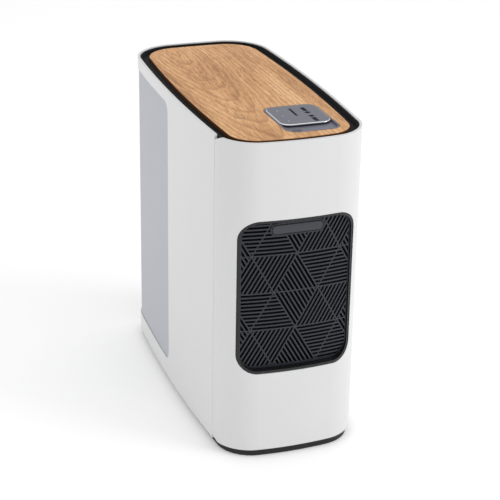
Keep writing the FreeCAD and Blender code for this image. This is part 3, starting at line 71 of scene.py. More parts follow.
def node(tree, kind, inputs=None, **settings):
    """Adds a shader node. Its inputs are values, other nodes (their first live output) or sockets."""
    made = tree.nodes.new("ShaderNode" + kind)
    for name, setting in settings.items():
        setattr(made, name, setting)
    for name, given in (inputs or {}).items():
        if isinstance(given, bpy.types.Node):
            given = next(output for output in given.outputs if output.enabled)
        if isinstance(given, bpy.types.NodeSocket):
            tree.links.new(given, made.inputs[name])
        else:
            made.inputs[name].default_value = given
    return made


def open_material(name):
    """A new material: itself, its tree, and its pattern space in metres."""
    made = bpy.data.materials.new(name)
    made.use_nodes = True
    made.node_tree.nodes.clear()
    return made, made.node_tree, node(made.node_tree, "TexCoord").outputs["Object"]


def add_mesh(name, builder, material):
    """A scene object from a finished bmesh."""
    mesh = bpy.data.meshes.new(name)
    builder.to_mesh(mesh)
    builder.free()
    mesh.materials.append(material)
    piece = bpy.data.objects.new(name, mesh)
    scene.collection.objects.link(piece)
    return piece


def softbox(name, place, size, power):
    """A square area light that faces the case."""
    lamp = bpy.data.lights.new(name, "AREA")
    lamp.size, lamp.energy = size, power
    holder = bpy.data.objects.new(name, lamp)
    holder.location = place
    holder.rotation_mode = "QUATERNION"
    holder.rotation_quaternion = ((cad_low + cad_high) / 2 - Vector(place)).to_track_quat("-Z", "Y")
    scene.collection.objects.link(holder)


# Lit acrylic: satin, faintly mottled, and bright enough by its own glow to read as clean white.
acrylic, tree, place = open_material("acrylic, satin, lit from below")
mottle = node(tree, "TexNoise", {"Vector": place, "Scale": 1 / MOTTLE, "Detail": 2.0})
white = node(tree, "Mix", {"Factor": mottle, "A": colour("F6F6F6"), "B": colour("FAFAFA")}, data_type="RGBA")
surface = node(tree, "BsdfPrincipled", {"Base Color": white, "Roughness": 0.6, "Specular IOR Level": 0.2,
                                        "Emission Color": colour("FFFFFF"), "Emission Strength": TABLE_GLOW})
node(tree, "OutputMaterial", {"Surface": surface})
table = bmesh.new()
bmesh.ops.create_grid(table, x_segments=1, y_segments=1, size=TABLE_HALF)
add_mesh("table", table, acrylic)

room = bpy.data.worlds.new("studio")
room.use_nodes = True
background = room.node_tree.nodes["Background"]
background.inputs["Color"].default_value = colour("FFFFFF")
background.inputs["Strength"].default_value = ROOM_LIGHT
scene.world = room
softbox("key", (2.3, -1.9, 1.6), 1.4, 29)
softbox("fill", (-2.4, -0.8, 1.4), 2.0, 3)
softbox("overhead", (0.2, 0.6, 2.6), 1.8, 7)

# ---------------------------------------------------------------- base and feet
# The base is one black ABS moulding, from a spark-eroded mould that leaves a fine grain and kills the gloss.
# Four discs of black rubber are glued under it. Rubber is duller still and holds a little dust.

# The real grain is about 0.2 mm. It is drawn four times as coarse, so that it shows.
GRAIN = 0.0009
MOULD_CLOUD = 0.040
DUST = 0.003


def dress(material, *names):
    """Gives CAD nodes their material."""
    for name in names:
        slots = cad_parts[name].data.materials
        slots.clear()
        slots.append(material)


def moulded(name, shade, roughness, grain=GRAIN, edge=0.0004, specular=0.5):
    """Moulded plastic. The grain scatters its highlight; the moulded edge catches a thin soft line."""
    made, tree, place = open_material(name)
    texture = node(tree, "TexNoise", {"Vector": place, "Scale": 1 / grain, "Detail": 2.0})
    cloud = node(tree, "TexNoise", {"Vector": place, "Scale": 1 / MOULD_CLOUD, "Detail": 2.0})
    shades = {"A": colour(shade, 0.88), "B": colour(shade, 1.12)}
    tone = node(tree, "Mix", {"Factor": cloud, **shades}, data_type="RGBA")
    soft_edge = node(tree, "Bevel", {"Radius": edge}, samples=4)
    relief = node(tree, "Bump", {"Strength": 0.12, "Distance": 0.0001, "Height": texture,
                                 "Normal": soft_edge})
    gloss = node(tree, "MapRange", {"Value": cloud, "To Min": roughness - 0.04, "To Max": roughness + 0.04})
    surface = node(tree, "BsdfPrincipled", {"Base Color": tone, "Roughness": gloss, "IOR": 1.5,
                                            "Specular IOR Level": specular, "Normal": relief})
    node(tree, "OutputMaterial", {"Surface": surface})
    return made


# Grained black ABS: a dull, even black that never shows a hard highlight.
black_abs = moulded("ABS, grained black", "111113", 0.5, specular=0.4)
dress(black_abs, "base_tray", "rear_shroud")

# Moulded rubber: matt black, greyed by dust in specks of about 3 mm.
rubber, tree, place = open_material("rubber, moulded matt")
dust = node(tree, "TexNoise", {"Vector": place, "Scale": 1 / DUST, "Detail": 4.0})
dusty = node(tree, "Mix", {"Factor": dust, "A": colour("141414"), "B": colour("262626")}, data_type="RGBA")
surface = node(tree, "BsdfPrincipled", {"Base Color": dusty, "Roughness": 0.85, "Specular IOR Level": 0.3})
node(tree, "OutputMaterial", {"Surface": surface})
dress(rubber, "rubber_feet")

# ---------------------------------------------------------------- chassis and power supply
# Folded sheet steel, powder coated black after folding. The powder dries to a fine orange peel with a satin
# gloss. The power supply is a folded box of the same sheet and coat, screwed to the rear plate.
PEEL = 0.0015

# Powder coat: satin black, its highlight broken up by the orange peel.
coat, tree, place = open_material("steel, black powder coat")
peel = node(tree, "TexNoise", {"Vector": place, "Scale": 1 / PEEL, "Detail": 1.0})
black = node(tree, "Mix", {"Factor": peel, "A": colour("1A1A1C"), "B": colour("242427")}, data_type="RGBA")
relief = node(tree, "Bump", {"Strength": 0.25, "Distance": 0.0002, "Height": peel})
surface = node(tree, "BsdfPrincipled", {"Base Color": black, "Roughness": 0.45, "Normal": relief})
node(tree, "OutputMaterial", {"Surface": surface})
dress(coat, "chassis_floor", "chassis_top", "board_wall", "chassis_front", "chassis_rear", "power_supply")

# ---------------------------------------------------------------- drive cage and brackets
# Zinc-plated sheet steel, left bare. The zinc freezes in crystals that differ a little in tone and gloss.
# The cage holds the sleds on bent runners; the fan bracket and the port shield are cut from the same sheet.
CRYSTAL = 0.006


def plated(name, shade, crystal=CRYSTAL):
    """Plated steel: a grey metal whose crystals each reflect a little differently."""
    made, tree, place = open_material(name)
    crystals = node(tree, "TexVoronoi", {"Vector": place, "Scale": 1 / crystal}).outputs["Color"]
    each = node(tree, "SeparateColor", {"Color": crystals})
    shades = {"A": colour(shade, 0.85), "B": colour(shade, 1.1)}
    tone = node(tree, "Mix", {"Factor": each, **shades}, data_type="RGBA")
    gloss = node(tree, "MapRange", {"Value": each, "To Min": 0.3, "To Max": 0.45})
    surface = node(tree, "BsdfPrincipled", {"Base Color": tone, "Metallic": 1.0, "Roughness": gloss})
    node(tree, "OutputMaterial", {"Surface": surface})
    return made


dress(plated("steel, zinc plated", "B4B6B9"),
      "drive_cage", "fan_bracket", "port_shield", "standoffs", "rear_screws")

# ---------------------------------------------------------------- sleds and drives
# A sled is one black ABS moulding. A drive is a cast aluminium case, blasted and left bare, with a pressed
# cover. Its paper label carries plain printed bars, and six small screws hold the cover.
BAYS = range(1, 5)
LABEL_WIDTH, LABEL_LENGTH, LABEL_THICK, LABEL_CORNER = 0.080, 0.086, 0.0001, 0.003
LABEL_SETBACK = 0.008
BAR_PITCH, BAR_WIDTH, BAR_LENGTH = 0.006, 0.0014, 0.060
PAPER_FIBRE = 0.001
SCREW_RADIUS, SCREW_HEIGHT, SCREW_INSET = 0.0024, 0.0006, 0.006

# The real grit marks are about 0.1 mm. They are drawn five times as coarse, so that they show.
GRIT = 0.0005
CAST_CLOUD = 0.0167


def blasted(name, shade, roughness):
    """Aluminium blasted with fine grit and anodised: an even, soft metal sheen with no direction."""
    made, tree, place = open_material(name)
    grit = node(tree, "TexNoise", {"Vector": place, "Scale": 1 / GRIT, "Detail": 2.0})
    cloud = node(tree, "TexNoise", {"Vector": place, "Scale": 1 / CAST_CLOUD, "Detail": 2.0})
    shades = {"A": colour(shade, 0.93), "B": colour(shade, 1.07)}
    tone = node(tree, "Mix", {"Factor": cloud, **shades}, data_type="RGBA")
    relief = node(tree, "Bump", {"Strength": 0.08, "Distance": 0.0001, "Height": grit})
    surface = node(tree, "BsdfPrincipled", {"Base Color": tone, "Metallic": 1.0, "Roughness": roughness,
                                            "Normal": relief})
    node(tree, "OutputMaterial", {"Surface": surface})
    return made


def close_rings(builder, rings):
    """Joins rings of points into one closed skin."""
    faces = [builder.faces.new(rings[0][::-1]), builder.faces.new(rings[-1])]
    for lower, upper in zip(rings, rings[1:]):
        for index in range(len(lower)):
            after = (index + 1) % len(lower)
            faces.append(builder.faces.new((lower[index], lower[after], upper[after], upper[index])))
    bmesh.ops.recalc_face_normals(builder, faces=faces)


def add_plate(builder, centre, size, height, corner, axes="xyz"):
    """A thin plate that grows by height along the last of axes, with cut corners and a bevelled rim."""
    bevel = 0.2 * abs(height)
    rings = []
    for level, inset in ((0.0, 0.0), (0.8 * height, 0.0), (height, bevel)):
        ring = []
        for side, end in ((-1, -1), (1, -1), (1, 1), (-1, 1)):
            cuts = ((corner, 0), (0, corner)) if side != end else ((0, corner), (corner, 0))
            for cut_side, cut_end in cuts:
                spot = (side * (size[0] / 2 - inset - cut_side), end * (size[1] / 2 - inset - cut_end), level)
                point = Vector(spot[axes.index(axis)] for axis in "xyz")
                ring.append(builder.verts.new(Vector(centre) + point))
        rings.append(ring)
    close_rings(builder, rings)


def add_turned(builder, centre, profile, axis, sides=24):
    """A turned piece: profile is (radius, height) pairs from its foot up, along axis from centre."""
    turn = Vector((0, 0, 1)).rotation_difference(Vector(axis)).to_matrix()
    rings = []
    for radius, height in profile:
        angles = [math.tau * step / sides for step in range(sides)]
        points = [Vector((radius * math.cos(angle), radius * math.sin(angle), height)) for angle in angles]
        rings.append([builder.verts.new(Vector(centre) + turn @ point) for point in points])
    close_rings(builder, rings)


# Coated label paper: white and satin, with grey printed bars down its middle.
paper, tree, place = open_material("label paper, coated and printed")
parts = node(tree, "SeparateXYZ", {"Vector": place})
step = node(tree, "Math", {0: parts.outputs["Y"], 1: BAR_PITCH / 2}, operation="PINGPONG")
bar = node(tree, "Math", {0: step, 1: BAR_WIDTH / 2}, operation="LESS_THAN")
off_middle = node(tree, "Math", {0: parts.outputs["X"]}, operation="ABSOLUTE")
inside = node(tree, "Math", {0: off_middle, 1: BAR_LENGTH / 2}, operation="LESS_THAN")
printed = node(tree, "Math", {0: bar, 1: inside}, operation="MULTIPLY")
fibres = node(tree, "TexNoise", {"Vector": place, "Scale": 1 / PAPER_FIBRE, "Detail": 3.0})
sheet = node(tree, "Mix", {"Factor": fibres, "A": colour("DEDEDA"), "B": colour("EAEAE7")}, data_type="RGBA")
inked = node(tree, "Mix", {"Factor": printed, "A": sheet, "B": colour("6A6C72")}, data_type="RGBA")
surface = node(tree, "BsdfPrincipled", {"Base Color": inked, "Roughness": 0.5})
node(tree, "OutputMaterial", {"Surface": surface})

# Cast aluminium is a soft mid grey; nickel plate on the screws is darker and tighter in its crystals.
drive_case = blasted("aluminium, cast and blasted", "A9ABAF", 0.38)
screw_steel = plated("steel, nickel plated", "8C8D90", crystal=0.002)
dress(black_abs, *[f"drive_sled_{bay}" for bay in BAYS])
dress(drive_case, *[f"hard_drive_{bay}" for bay in BAYS])
screw_head = [(SCREW_RADIUS, 0.0), (SCREW_RADIUS, SCREW_HEIGHT * 0.6), (SCREW_RADIUS * 0.8, SCREW_HEIGHT),
              (SCREW_RADIUS * 0.45, SCREW_HEIGHT), (SCREW_RADIUS * 0.4, SCREW_HEIGHT * 0.3)]
for bay in BAYS:
    low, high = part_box(f"hard_drive_{bay}")
    middle = (low + high) / 2
    label = bmesh.new()
    add_plate(label, (middle.x, middle.y + LABEL_SETBACK, high.z), (LABEL_WIDTH, LABEL_LENGTH), LABEL_THICK,
              LABEL_CORNER)
    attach(add_mesh(f"drive_label_{bay}", label, paper), f"sled_{bay}")
    screws = bmesh.new()
    for x in (low.x + SCREW_INSET, high.x - SCREW_INSET):
        for y in (low.y + SCREW_INSET, middle.y, high.y - SCREW_INSET):
            add_turned(screws, (x, y, high.z), screw_head, (0, 0, 1))
    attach(add_mesh(f"drive_screws_{bay}", screws, screw_steel), f"sled_{bay}")

# ---------------------------------------------------------------- boards
# Fibreglass under green solder mask, which is glossy and shows the copper runs below as paler lines. The
# main board carries epoxy chips and aluminium capacitors, soldered in rows below its cooler.
RUN_SPACING = 0.004
CHIPS = ((0.052, 0.018, 0.0022), (0.082, 0.024, 0.0024), (0.112, 0.014, 0.0016))
CHIP_ROW, CHIP_CORNER = 0.018, 0.0006
CANS, CAN_START, CAN_PITCH, CAN_ROW = 8, 0.046, 0.010, 0.038
CAN_RADIUS, CAN_HEIGHT = 0.0032, 0.008

# Solder mask: dark glossy green over the fibreglass, paler and a hair raised over each copper run.
board, tree, place = open_material("fibreglass, green solder mask")
cells = node(tree, "TexVoronoi", {"Vector": place, "Scale": 1 / RUN_SPACING}, distance="MANHATTAN")
run = node(tree, "MapRange", {"Value": cells.outputs["Distance"], "From Min": 0.45, "From Max": 0.5})
mask = node(tree, "Mix", {"Factor": run, "A": colour("0E3B22"), "B": colour("1B5A36")}, data_type="RGBA")
relief = node(tree, "Bump", {"Strength": 0.2, "Distance": 0.00005, "Height": run})
surface = node(tree, "BsdfPrincipled", {"Base Color": mask, "Roughness": 0.3, "Coat Weight": 0.4,
                                        "Normal": relief})
node(tree, "OutputMaterial", {"Surface": surface})
dress(board, "backplane", "port_board", "power_switch", "main_board", "memory_modules")

# Moulded nylon: black, with a slightly waxy gloss and sharp corners.
black_nylon = moulded("nylon, moulded black", "151516", 0.5, grain=0.0006, edge=0.0002)
dress(black_nylon, "drive_plugs", "memory_slots", "mains_inlet", "audio_jacks")

# Chips of matt moulded epoxy. Each entry in CHIPS is its place behind the case's middle, side and height.
board_face, _, board_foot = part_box("main_board")[0]
chips = bmesh.new()
for back, side, tall in CHIPS:
    add_plate(chips, (board_face, back, board_foot + CHIP_ROW), (side, side), -tall, CHIP_CORNER, axes="yzx")
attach(add_mesh("board_chips", chips, moulded("epoxy, moulded black", "19191B", 0.6, grain=0.0005)), "case")

# Capacitor cans: drawn aluminium, bright, crimped round the foot.
can = [(CAN_RADIUS, 0.0), (CAN_RADIUS, 0.0014), (CAN_RADIUS * 0.88, 0.0018), (CAN_RADIUS, 0.0022),
       (CAN_RADIUS, CAN_HEIGHT - 0.0006), (CAN_RADIUS * 0.85, CAN_HEIGHT)]
cans = bmesh.new()
for index in range(CANS):
    add_turned(cans, (board_face, CAN_START + index * CAN_PITCH, board_foot + CAN_ROW), can, (-1, 0, 0))
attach(add_mesh("capacitors", cans, blasted("aluminium, drawn", "C9CBCF", 0.28)), "case")

# ---------------------------------------------------------------- sockets and processor
# Stamped steel shells, tin plated, with a tongue of dark blue nylon in each front socket. The processor's
# lid is nickel-plated copper, which passes for the same cool grey.
dress(plated("steel, tin plated", "9C9EA3", crystal=0.003),
      "usb_sockets", "card_slot", "rear_ports", "processor")
dress(moulded("nylon, moulded blue", "1A2A55", 0.45, grain=0.0006, edge=0.0002), "usb_contacts")

# ---------------------------------------------------------------- fans and cooler
# Fans are glass-filled black nylon: the glass shows as a slightly uneven satin. The cooler is extruded
# aluminium with sawn fins, bare, and brighter than the cast drives.
FANS = ("bay_fan", "rear_fan", "cooler_fan")
dress(moulded("nylon, glass filled", "1B1B1D", 0.42, grain=0.0008),
      *[f"{fan}_{half}" for fan in FANS for half in ("frame", "rotor")])
dress(blasted("aluminium, extruded", "C3C5C8", 0.3), "processor_cooler")

# ---------------------------------------------------------------- white shells
# Front shell, rear shell and both side panels: ABS, sprayed gloss white and flatted. The lacquer gives a
# clear but soft reflection, and its orange peel, about 4 mm across, makes that reflection waver slightly.
LACQUER_PEEL = 0.004
LACQUER_EDGE = 0.0007
LACQUER_PATCH = 0.111

# Lacquer: near white, evenly lit, with one broad soft highlight on each rounded corner.
lacquer, tree, place = open_material("ABS, gloss white lacquer")
patches = node(tree, "TexNoise", {"Vector": place, "Scale": 1 / LACQUER_PATCH, "Detail": 3.0})
tone = node(tree, "Mix", {"Factor": patches, "A": colour("D6D6D7"), "B": colour("DBDBDB")}, data_type="RGBA")
waver = node(tree, "TexNoise", {"Vector": place, "Scale": 1 / LACQUER_PEEL, "Detail": 1.0})
soft_edge = node(tree, "Bevel", {"Radius": LACQUER_EDGE}, samples=4)
relief = node(tree, "Bump", {"Strength": 0.02, "Distance": 0.0002, "Height": waver, "Normal": soft_edge})
gloss = node(tree, "MapRange", {"Value": patches, "To Min": 0.28, "To Max": 0.36})
surface = node(tree, "BsdfPrincipled", {"Base Color": tone, "Roughness": gloss, "IOR": 1.5,
                                        "Coat Weight": 0.25, "Coat Roughness": 0.15, "Normal": relief})
node(tree, "OutputMaterial", {"Surface": surface})
dress(lacquer, "front_shell", "rear_shell", "left_side_panel", "right_side_panel")

# ---------------------------------------------------------------- vent sheets
# Thin steel, punched with staggered holes and painted pale blue-grey, glued into the side panels' rebates.
# The real holes are under 1 mm; they are drawn on a 3 mm pitch, as coarse as they need to be to show.
HOLE_PITCH, HOLE_RADIUS = 0.003, 0.00075
ROW_PITCH = HOLE_PITCH * math.sqrt(3)

# Painted punched steel: pale satin blue-grey, dotted with holes painted darker as the shade seen through
# them.
# Each dot measures how far a point is from the nearest hole of two grids, one half a step off the other.
punched, tree, place = open_material("steel, punched and painted")
parts = node(tree, "SeparateXYZ", {"Vector": place})
nearest = []
for shift in (0.0, 0.5):
    steps = []
    for way, pitch in (("Y", HOLE_PITCH), ("Z", ROW_PITCH)):
        along = node(tree, "Math", {0: parts.outputs[way], 1: 1 / pitch, 2: shift}, operation="MULTIPLY_ADD")
        fold = node(tree, "Math", {0: along, 1: 0.5}, operation="PINGPONG")
        steps.append(node(tree, "Math", {0: fold, 1: pitch}, operation="MULTIPLY"))
    flat = node(tree, "CombineXYZ", {"X": steps[0], "Y": steps[1]})
    nearest.append(node(tree, "VectorMath", {0: flat}, operation="LENGTH").outputs["Value"])
reach = node(tree, "Math", {0: nearest[0], 1: nearest[1]}, operation="MINIMUM")
hole = node(tree, "MapRange", {"Value": reach, "From Min": HOLE_RADIUS * 0.8,
                               "From Max": HOLE_RADIUS * 1.2, "To Min": 1.0, "To Max": 0.0})
# Painted shade: the holes are darker only as the dark seen through them.
paint = node(tree, "Mix", {"Factor": hole, "A": colour("BABDC5"), "B": colour("979AA3")}, data_type="RGBA")
relief = node(tree, "Bump", {"Strength": 0.15, "Distance": 0.0003, "Height": hole}, invert=True)
surface = node(tree, "BsdfPrincipled", {"Base Color": paint, "Roughness": 0.42, "Normal": relief})
node(tree, "OutputMaterial", {"Surface": surface})
dress(punched, "left_vent_sheet", "right_vent_sheet")

# ---------------------------------------------------------------- front cover
# Frame, lattice grille and pill plate are charcoal ABS from grained moulds, clipped together; the plate is
# set in a moulded groove. Woven black nylon behind them stops dust, so the slots look black.
GROOVE = 0.0011

# The real threads are about 0.3 mm apart, and are drawn coarser so that they show. A wave texture repeats
# every WAVE_LENGTH at a scale of one.
THREAD_PITCH = 0.0016
WAVE_LENGTH = math.tau / 20


def round_edges(name, width, finish=None, only=None):
    """Rounds a CAD node's hard edges; finish is the rounding's own material, only(point) picks the edges."""
    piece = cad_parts[name]
    piece.modifiers.new("weld", "WELD").merge_threshold = 1e-5
    merge = piece.modifiers.new("merge flat faces", "DECIMATE")
    merge.decimate_type = "DISSOLVE"
    merge.angle_limit = math.radians(0.1)
    rounding = piece.modifiers.new("round", "BEVEL")
    rounding.width, rounding.segments, rounding.use_clamp_overlap = width, 3, False
    rounding.limit_method, rounding.angle_limit = "ANGLE", math.radians(40)
    if only:
        chosen = piece.vertex_groups.new(name="rounded")
        chosen.add([vertex.index for vertex in piece.data.vertices if only(vertex.co)], 1.0, "REPLACE")
        rounding.limit_method, rounding.vertex_group = "VGROUP", chosen.name
    if finish:
        piece.data.materials.append(finish)
        rounding.material = len(piece.data.materials) - 1
    piece.modifiers.new("shading", "WEIGHTED_NORMAL")


# Three mouldings of the same ABS: a cool charcoal lattice with satin bars, a blacker frame round it, and a
# slightly paler, duller plate. The groove round the plate is painted near black, as painted shade in the gap.
dress(moulded("ABS, grained charcoal", "20222B", 0.38, grain=0.0008), "front_grille")
dress(moulded("ABS, satin near black", "0F1015", 0.42, grain=0.0010, edge=0.0005), "grille_frame")
dress(moulded("ABS, grained dark grey", "35363E", 0.45), "badge_plate")
round_edges("badge_plate", GROOVE, moulded("ABS, groove painted as shade", "060607", 0.6))

# Woven nylon: black, soaks up light, with a faint weave.
weave, tree, place = open_material("nylon, woven black")
wave = {"Vector": place, "Scale": WAVE_LENGTH / THREAD_PITCH}
warp, weft = (node(tree, "TexWave", wave, bands_direction=way).outputs["Fac"] for way in ("X", "Z"))
over = node(tree, "Math", {0: warp, 1: weft}, operation="MAXIMUM")
tone = node(tree, "Mix", {"Factor": over, "A": colour("030303"), "B": colour("0D0D10")}, data_type="RGBA")
relief = node(tree, "Bump", {"Strength": 0.4, "Distance": 0.0002, "Height": over})
surface = node(tree, "BsdfPrincipled", {"Base Color": tone, "Roughness": 0.8, "Specular IOR Level": 0.2,
                                        "Normal": relief})
node(tree, "OutputMaterial", {"Surface": surface})
dress(weave, "dust_filter")

# ---------------------------------------------------------------- top bezel
# A black ABS moulding that dishes down from the white rim to the lid. Its mould is only lightly grained, so
# it keeps a low satin gloss, and its far sides pick up a thin sheen. Its faint cool tint is a painted
# reflection.
dress(moulded("ABS, satin black", "090A0E", 0.6, grain=0.0012, specular=0.12), "top_bezel")

# ---------------------------------------------------------------- charging coil
# Enamelled copper wire, wound flat and glued under the lid. The turns are 1 mm apart. Each is painted bright
# along its crest and darkens to painted shade in the lines between turns.
TURN = 0.001
coil_low, coil_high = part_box("charging_coil")
coil_middle = (coil_low + coil_high) / 2

# Copper seen through amber enamel: a warm metal that isn't quite a bare one.
copper, tree, place = open_material("copper wire, enamelled")
from_middle = node(tree, "VectorMath", {0: place, 1: coil_middle}, operation="SUBTRACT")
flat = node(tree, "VectorMath", {0: from_middle, 1: (1.0, 1.0, 0.0)}, operation="MULTIPLY")
radius = node(tree, "VectorMath", {0: flat}, operation="LENGTH").outputs["Value"]
# Painted light and shade: across each turn the copper goes from dark at the gaps to bright at the crest.
turn = node(tree, "Math", {0: radius, 1: TURN / 2}, operation="PINGPONG")
wire = node(tree, "MapRange", {"Value": turn, "From Max": TURN / 2})
tone = node(tree, "Mix", {"Factor": wire, "A": colour("6B3217"), "B": colour("C8713C")}, data_type="RGBA")
surface = node(tree, "BsdfPrincipled", {"Base Color": tone, "Metallic": 0.8, "Roughness": 0.35})
node(tree, "OutputMaterial", {"Surface": surface})
dress(copper, "charging_coil")

# ---------------------------------------------------------------- wooden lid
# Flat-sawn oak veneer on a board, oiled, with its grain front to rear. The cut passes near the log's heart,
# so the yearly rings show as long nested arches. The board's edge is painted a darker brown as shade.
LID_EDGE = 0.0007
RING = 0.0052
HEART_X, HEART_Y = -0.030, 0.190
LOG_TILT, LOG_TURN = math.radians(7.0), math.radians(-3.0)
SWAY_LENGTH, SWAY = (1 / 0.0714, 1 / 0.2857, 1 / 0.0714), (0.030, 0.0, 0.022)
FIBRE = (1 / 0.0011, 1 / 0.035, 1 / 0.0011)
PORE = (1 / 0.0006, 1 / 0.016, 1 / 0.0006)
CLOUD = (1 / 0.020, 1 / 0.25, 1 / 0.020)
MARK_RINGS, MARK_LINE = (0.004, 0.0075), 0.0005

# Oiled oak: warm and satin, with dark late wood in each ring, streaky fibre, and pores as short dark dashes.
# The rings are cylinders about an axis that meets the lid's face at the heart, bent by slow noise.
oak, tree, place = open_material("oak veneer, oiled")
lid_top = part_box("wood_lid")[1].z
slow = node(tree, "Mapping", {"Vector": place, "Scale": SWAY_LENGTH})
drift = node(tree, "TexNoise", {"Vector": slow, "Scale": 1.0, "Detail": 3.0}).outputs["Color"]
offset = node(tree, "VectorMath", {0: drift, 1: (0.5, 0.5, 0.5)}, operation="SUBTRACT")
sway = node(tree, "VectorMath", {0: offset, 1: SWAY}, operation="MULTIPLY")
bent = node(tree, "VectorMath", {0: place, 1: sway}, operation="ADD")
depth = HEART_Y * math.sin(LOG_TILT) + lid_top * math.cos(LOG_TILT)
log = node(tree, "Mapping", {"Vector": bent, "Location": (-HEART_X, 0.0, -depth),
                             "Rotation": (LOG_TILT, 0.0, LOG_TURN)})
section = node(tree, "VectorMath", {0: log, 1: (1.0, 0.0, 1.0)}, operation="MULTIPLY")
radius = node(tree, "VectorMath", {0: section}, operation="LENGTH").outputs["Value"]
year = node(tree, "Math", {0: radius, 1: 1 / RING}, operation="MULTIPLY")
season = node(tree, "Math", {0: year}, operation="FRACT")
late_wood = node(tree, "ValToRGB", {"Fac": season})
late_wood.color_ramp.elements[1].color = (0.0, 0.0, 0.0, 1.0)
for position, grey in ((0.45, 0.12), (0.80, 0.75), (0.88, 1.0), (0.93, 0.1)):
    late_wood.color_ramp.elements.new(position).color = (grey, grey, grey, 1.0)

# Fibre, slow clouds of tone, and pores, all drawn out along the grain.
noises = []
for stretch, detail, roughness in ((FIBRE, 5.0, 0.7), (CLOUD, 3.0, 0.5), (PORE, 2.0, 0.5)):
    drawn = node(tree, "Mapping", {"Vector": bent, "Scale": stretch})
    noises.append(node(tree, "TexNoise", {"Vector": drawn, "Scale": 1.0, "Detail": detail,
                                          "Roughness": roughness}))
fibre, cloud, pore_noise = noises
pore = node(tree, "MapRange", {"Value": pore_noise, "From Min": 0.56, "From Max": 0.70})
figure = node(tree, "Mix", {"Factor": 0.45, "A": fibre.outputs["Fac"], "B": cloud.outputs["Fac"]})
tone = node(tree, "ValToRGB", {"Fac": figure})
shades = tone.color_ramp.elements
shades[0].position, shades[0].color = 0.38, colour("AA723D")
shades[1].position, shades[1].color = 0.62, colour("F6C48D")
shades.new(0.50).color = colour("DEA66D")
ring_share = node(tree, "Math", {0: late_wood, 1: 0.55}, operation="MULTIPLY")
ringed = node(tree, "Mix", {"Factor": ring_share, "A": tone, "B": colour("96632F")}, data_type="RGBA")
pore_share = node(tree, "Math", {0: pore, 1: 0.65}, operation="MULTIPLY")
pored = node(tree, "Mix", {"Factor": pore_share, "A": ringed, "B": colour("65401E")}, data_type="RGBA")

# Two printed rings mark the charging spot over the coil.
from_spot = node(tree, "VectorMath", {0: place, 1: coil_middle}, operation="SUBTRACT")
flat = node(tree, "VectorMath", {0: from_spot, 1: (1.0, 1.0, 0.0)}, operation="MULTIPLY")
reach = node(tree, "VectorMath", {0: flat}, operation="LENGTH").outputs["Value"]
lines = []
for size in MARK_RINGS:
    away = node(tree, "Math", {0: reach, 1: size}, operation="SUBTRACT")
    distance = node(tree, "Math", {0: away}, operation="ABSOLUTE")
    lines.append(node(tree, "Math", {0: distance, 1: MARK_LINE}, operation="LESS_THAN"))
mark = node(tree, "Math", {0: lines[0], 1: lines[1]}, operation="MAXIMUM")
mark_share = node(tree, "Math", {0: mark, 1: 0.55}, operation="MULTIPLY")
marked = node(tree, "Mix", {"Factor": mark_share, "A": pored, "B": colour("5A3A20")}, data_type="RGBA")

# Faces that don't look up, the board's edge, are painted darker brown as shade. Pores are duller than the
# wood.
normal = node(tree, "SeparateXYZ", {"Vector": node(tree, "NewGeometry").outputs["True Normal"]})
painted_edge_shade = node(tree, "MapRange", {"Value": normal.outputs["Z"], "From Min": 0.5, "From Max": 0.9,
                                   "To Min": 1.0, "To Max": 0.0})
oiled = node(tree, "Mix", {"Factor": painted_edge_shade, "A": marked, "B": colour("5E3A20")}, data_type="RGBA")
height = node(tree, "Math", {0: fibre.outputs["Fac"], 1: pore}, operation="SUBTRACT")
relief = node(tree, "Bump", {"Strength": 0.15, "Distance": 0.00015, "Height": height})
gloss = node(tree, "MapRange", {"Value": pore, "To Min": 0.42, "To Max": 0.7})
surface = node(tree, "BsdfPrincipled", {"Base Color": oiled, "Roughness": gloss, "IOR": 1.47,
                                        "Specular IOR Level": 0.35, "Normal": relief})
node(tree, "OutputMaterial", {"Surface": surface})
dress(oak, "wood_lid")
round_edges("wood_lid", LID_EDGE)

# ---------------------------------------------------------------- port tray, port block, button, lights
# The tray and the power button are grey ABS. The block is cast aluminium, blasted and anodised, with its
# upper edge milled to a bright bevel after anodising. The status lights are frosted acrylic pins.
BRIGHT_EDGE, RIM_REACH = 0.0010, 0.004
HAZE = 0.0011

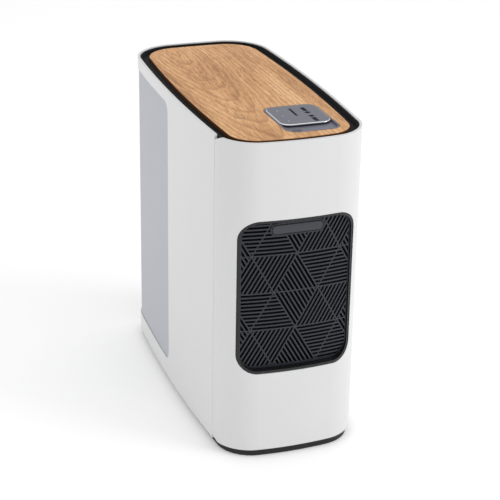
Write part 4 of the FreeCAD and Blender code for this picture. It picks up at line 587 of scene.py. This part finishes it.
# Satin ABS in two greys, and blasted aluminium whose soft sheen sets off the mirror-bright line of its rim.
dress(moulded("ABS, satin grey", "6C6D79", 0.4, grain=0.0012, edge=0.0006), "port_tray")
dress(moulded("ABS, satin mid grey", "2E2F36", 0.35, grain=0.0012, edge=0.0006), "power_button")
dress(blasted("aluminium, blasted and anodised", "7A7C87", 0.34), "port_block")
block_low, block_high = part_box("port_block")


def on_block_rim(point):
    """True for the points of the block's upper outline, but not for its sockets' edges."""
    to_left, to_front, _ = point - block_low
    to_right, to_rear, to_top = block_high - point
    return to_top < 1e-4 and min(to_left, to_right, to_front, to_rear) < RIM_REACH


round_edges("port_block", BRIGHT_EDGE, blasted("aluminium, milled bright", "E8E9EC", 0.12), on_block_rim)

# Frosted acrylic: pale, cool and hazy, and lets a little light in.
acrylic_pin, tree, place = open_material("acrylic, frosted")
haze = node(tree, "TexNoise", {"Vector": place, "Scale": 1 / HAZE})
tone = node(tree, "Mix", {"Factor": haze, "A": colour("C9CEDA"), "B": colour("E4E8F0")}, data_type="RGBA")
surface = node(tree, "BsdfPrincipled", {"Base Color": tone, "Roughness": 0.3, "IOR": 1.49,
                                        "Transmission Weight": 0.3})
node(tree, "OutputMaterial", {"Surface": surface})
dress(acrylic_pin, "status_lights")

# ---------------------------------------------------------------- camera
# A long lens from the front left, looking down on the lid.
LENS, SENSOR = 111.8, 36
STAND = Vector((-0.5736, -1.6219, 0.9139))
YAW, PITCH, ROLL = (math.radians(angle) for angle in (19.879, 23.362, 1.032))
forward = Vector((math.sin(YAW) * math.cos(PITCH), math.cos(YAW) * math.cos(PITCH), -math.sin(PITCH)))
level = Vector((math.cos(YAW), -math.sin(YAW), 0))
upright = level.cross(forward)
right = math.cos(ROLL) * level + math.sin(ROLL) * upright
up = math.cos(ROLL) * upright - math.sin(ROLL) * level
camera = bpy.data.objects.new("camera", bpy.data.cameras.new("camera"))
camera.data.lens, camera.data.sensor_width = LENS, SENSOR
camera.matrix_world = Matrix.Translation(STAND) @ Matrix((right, up, -forward)).transposed().to_4x4()
scene.collection.objects.link(camera)
scene.camera = camera
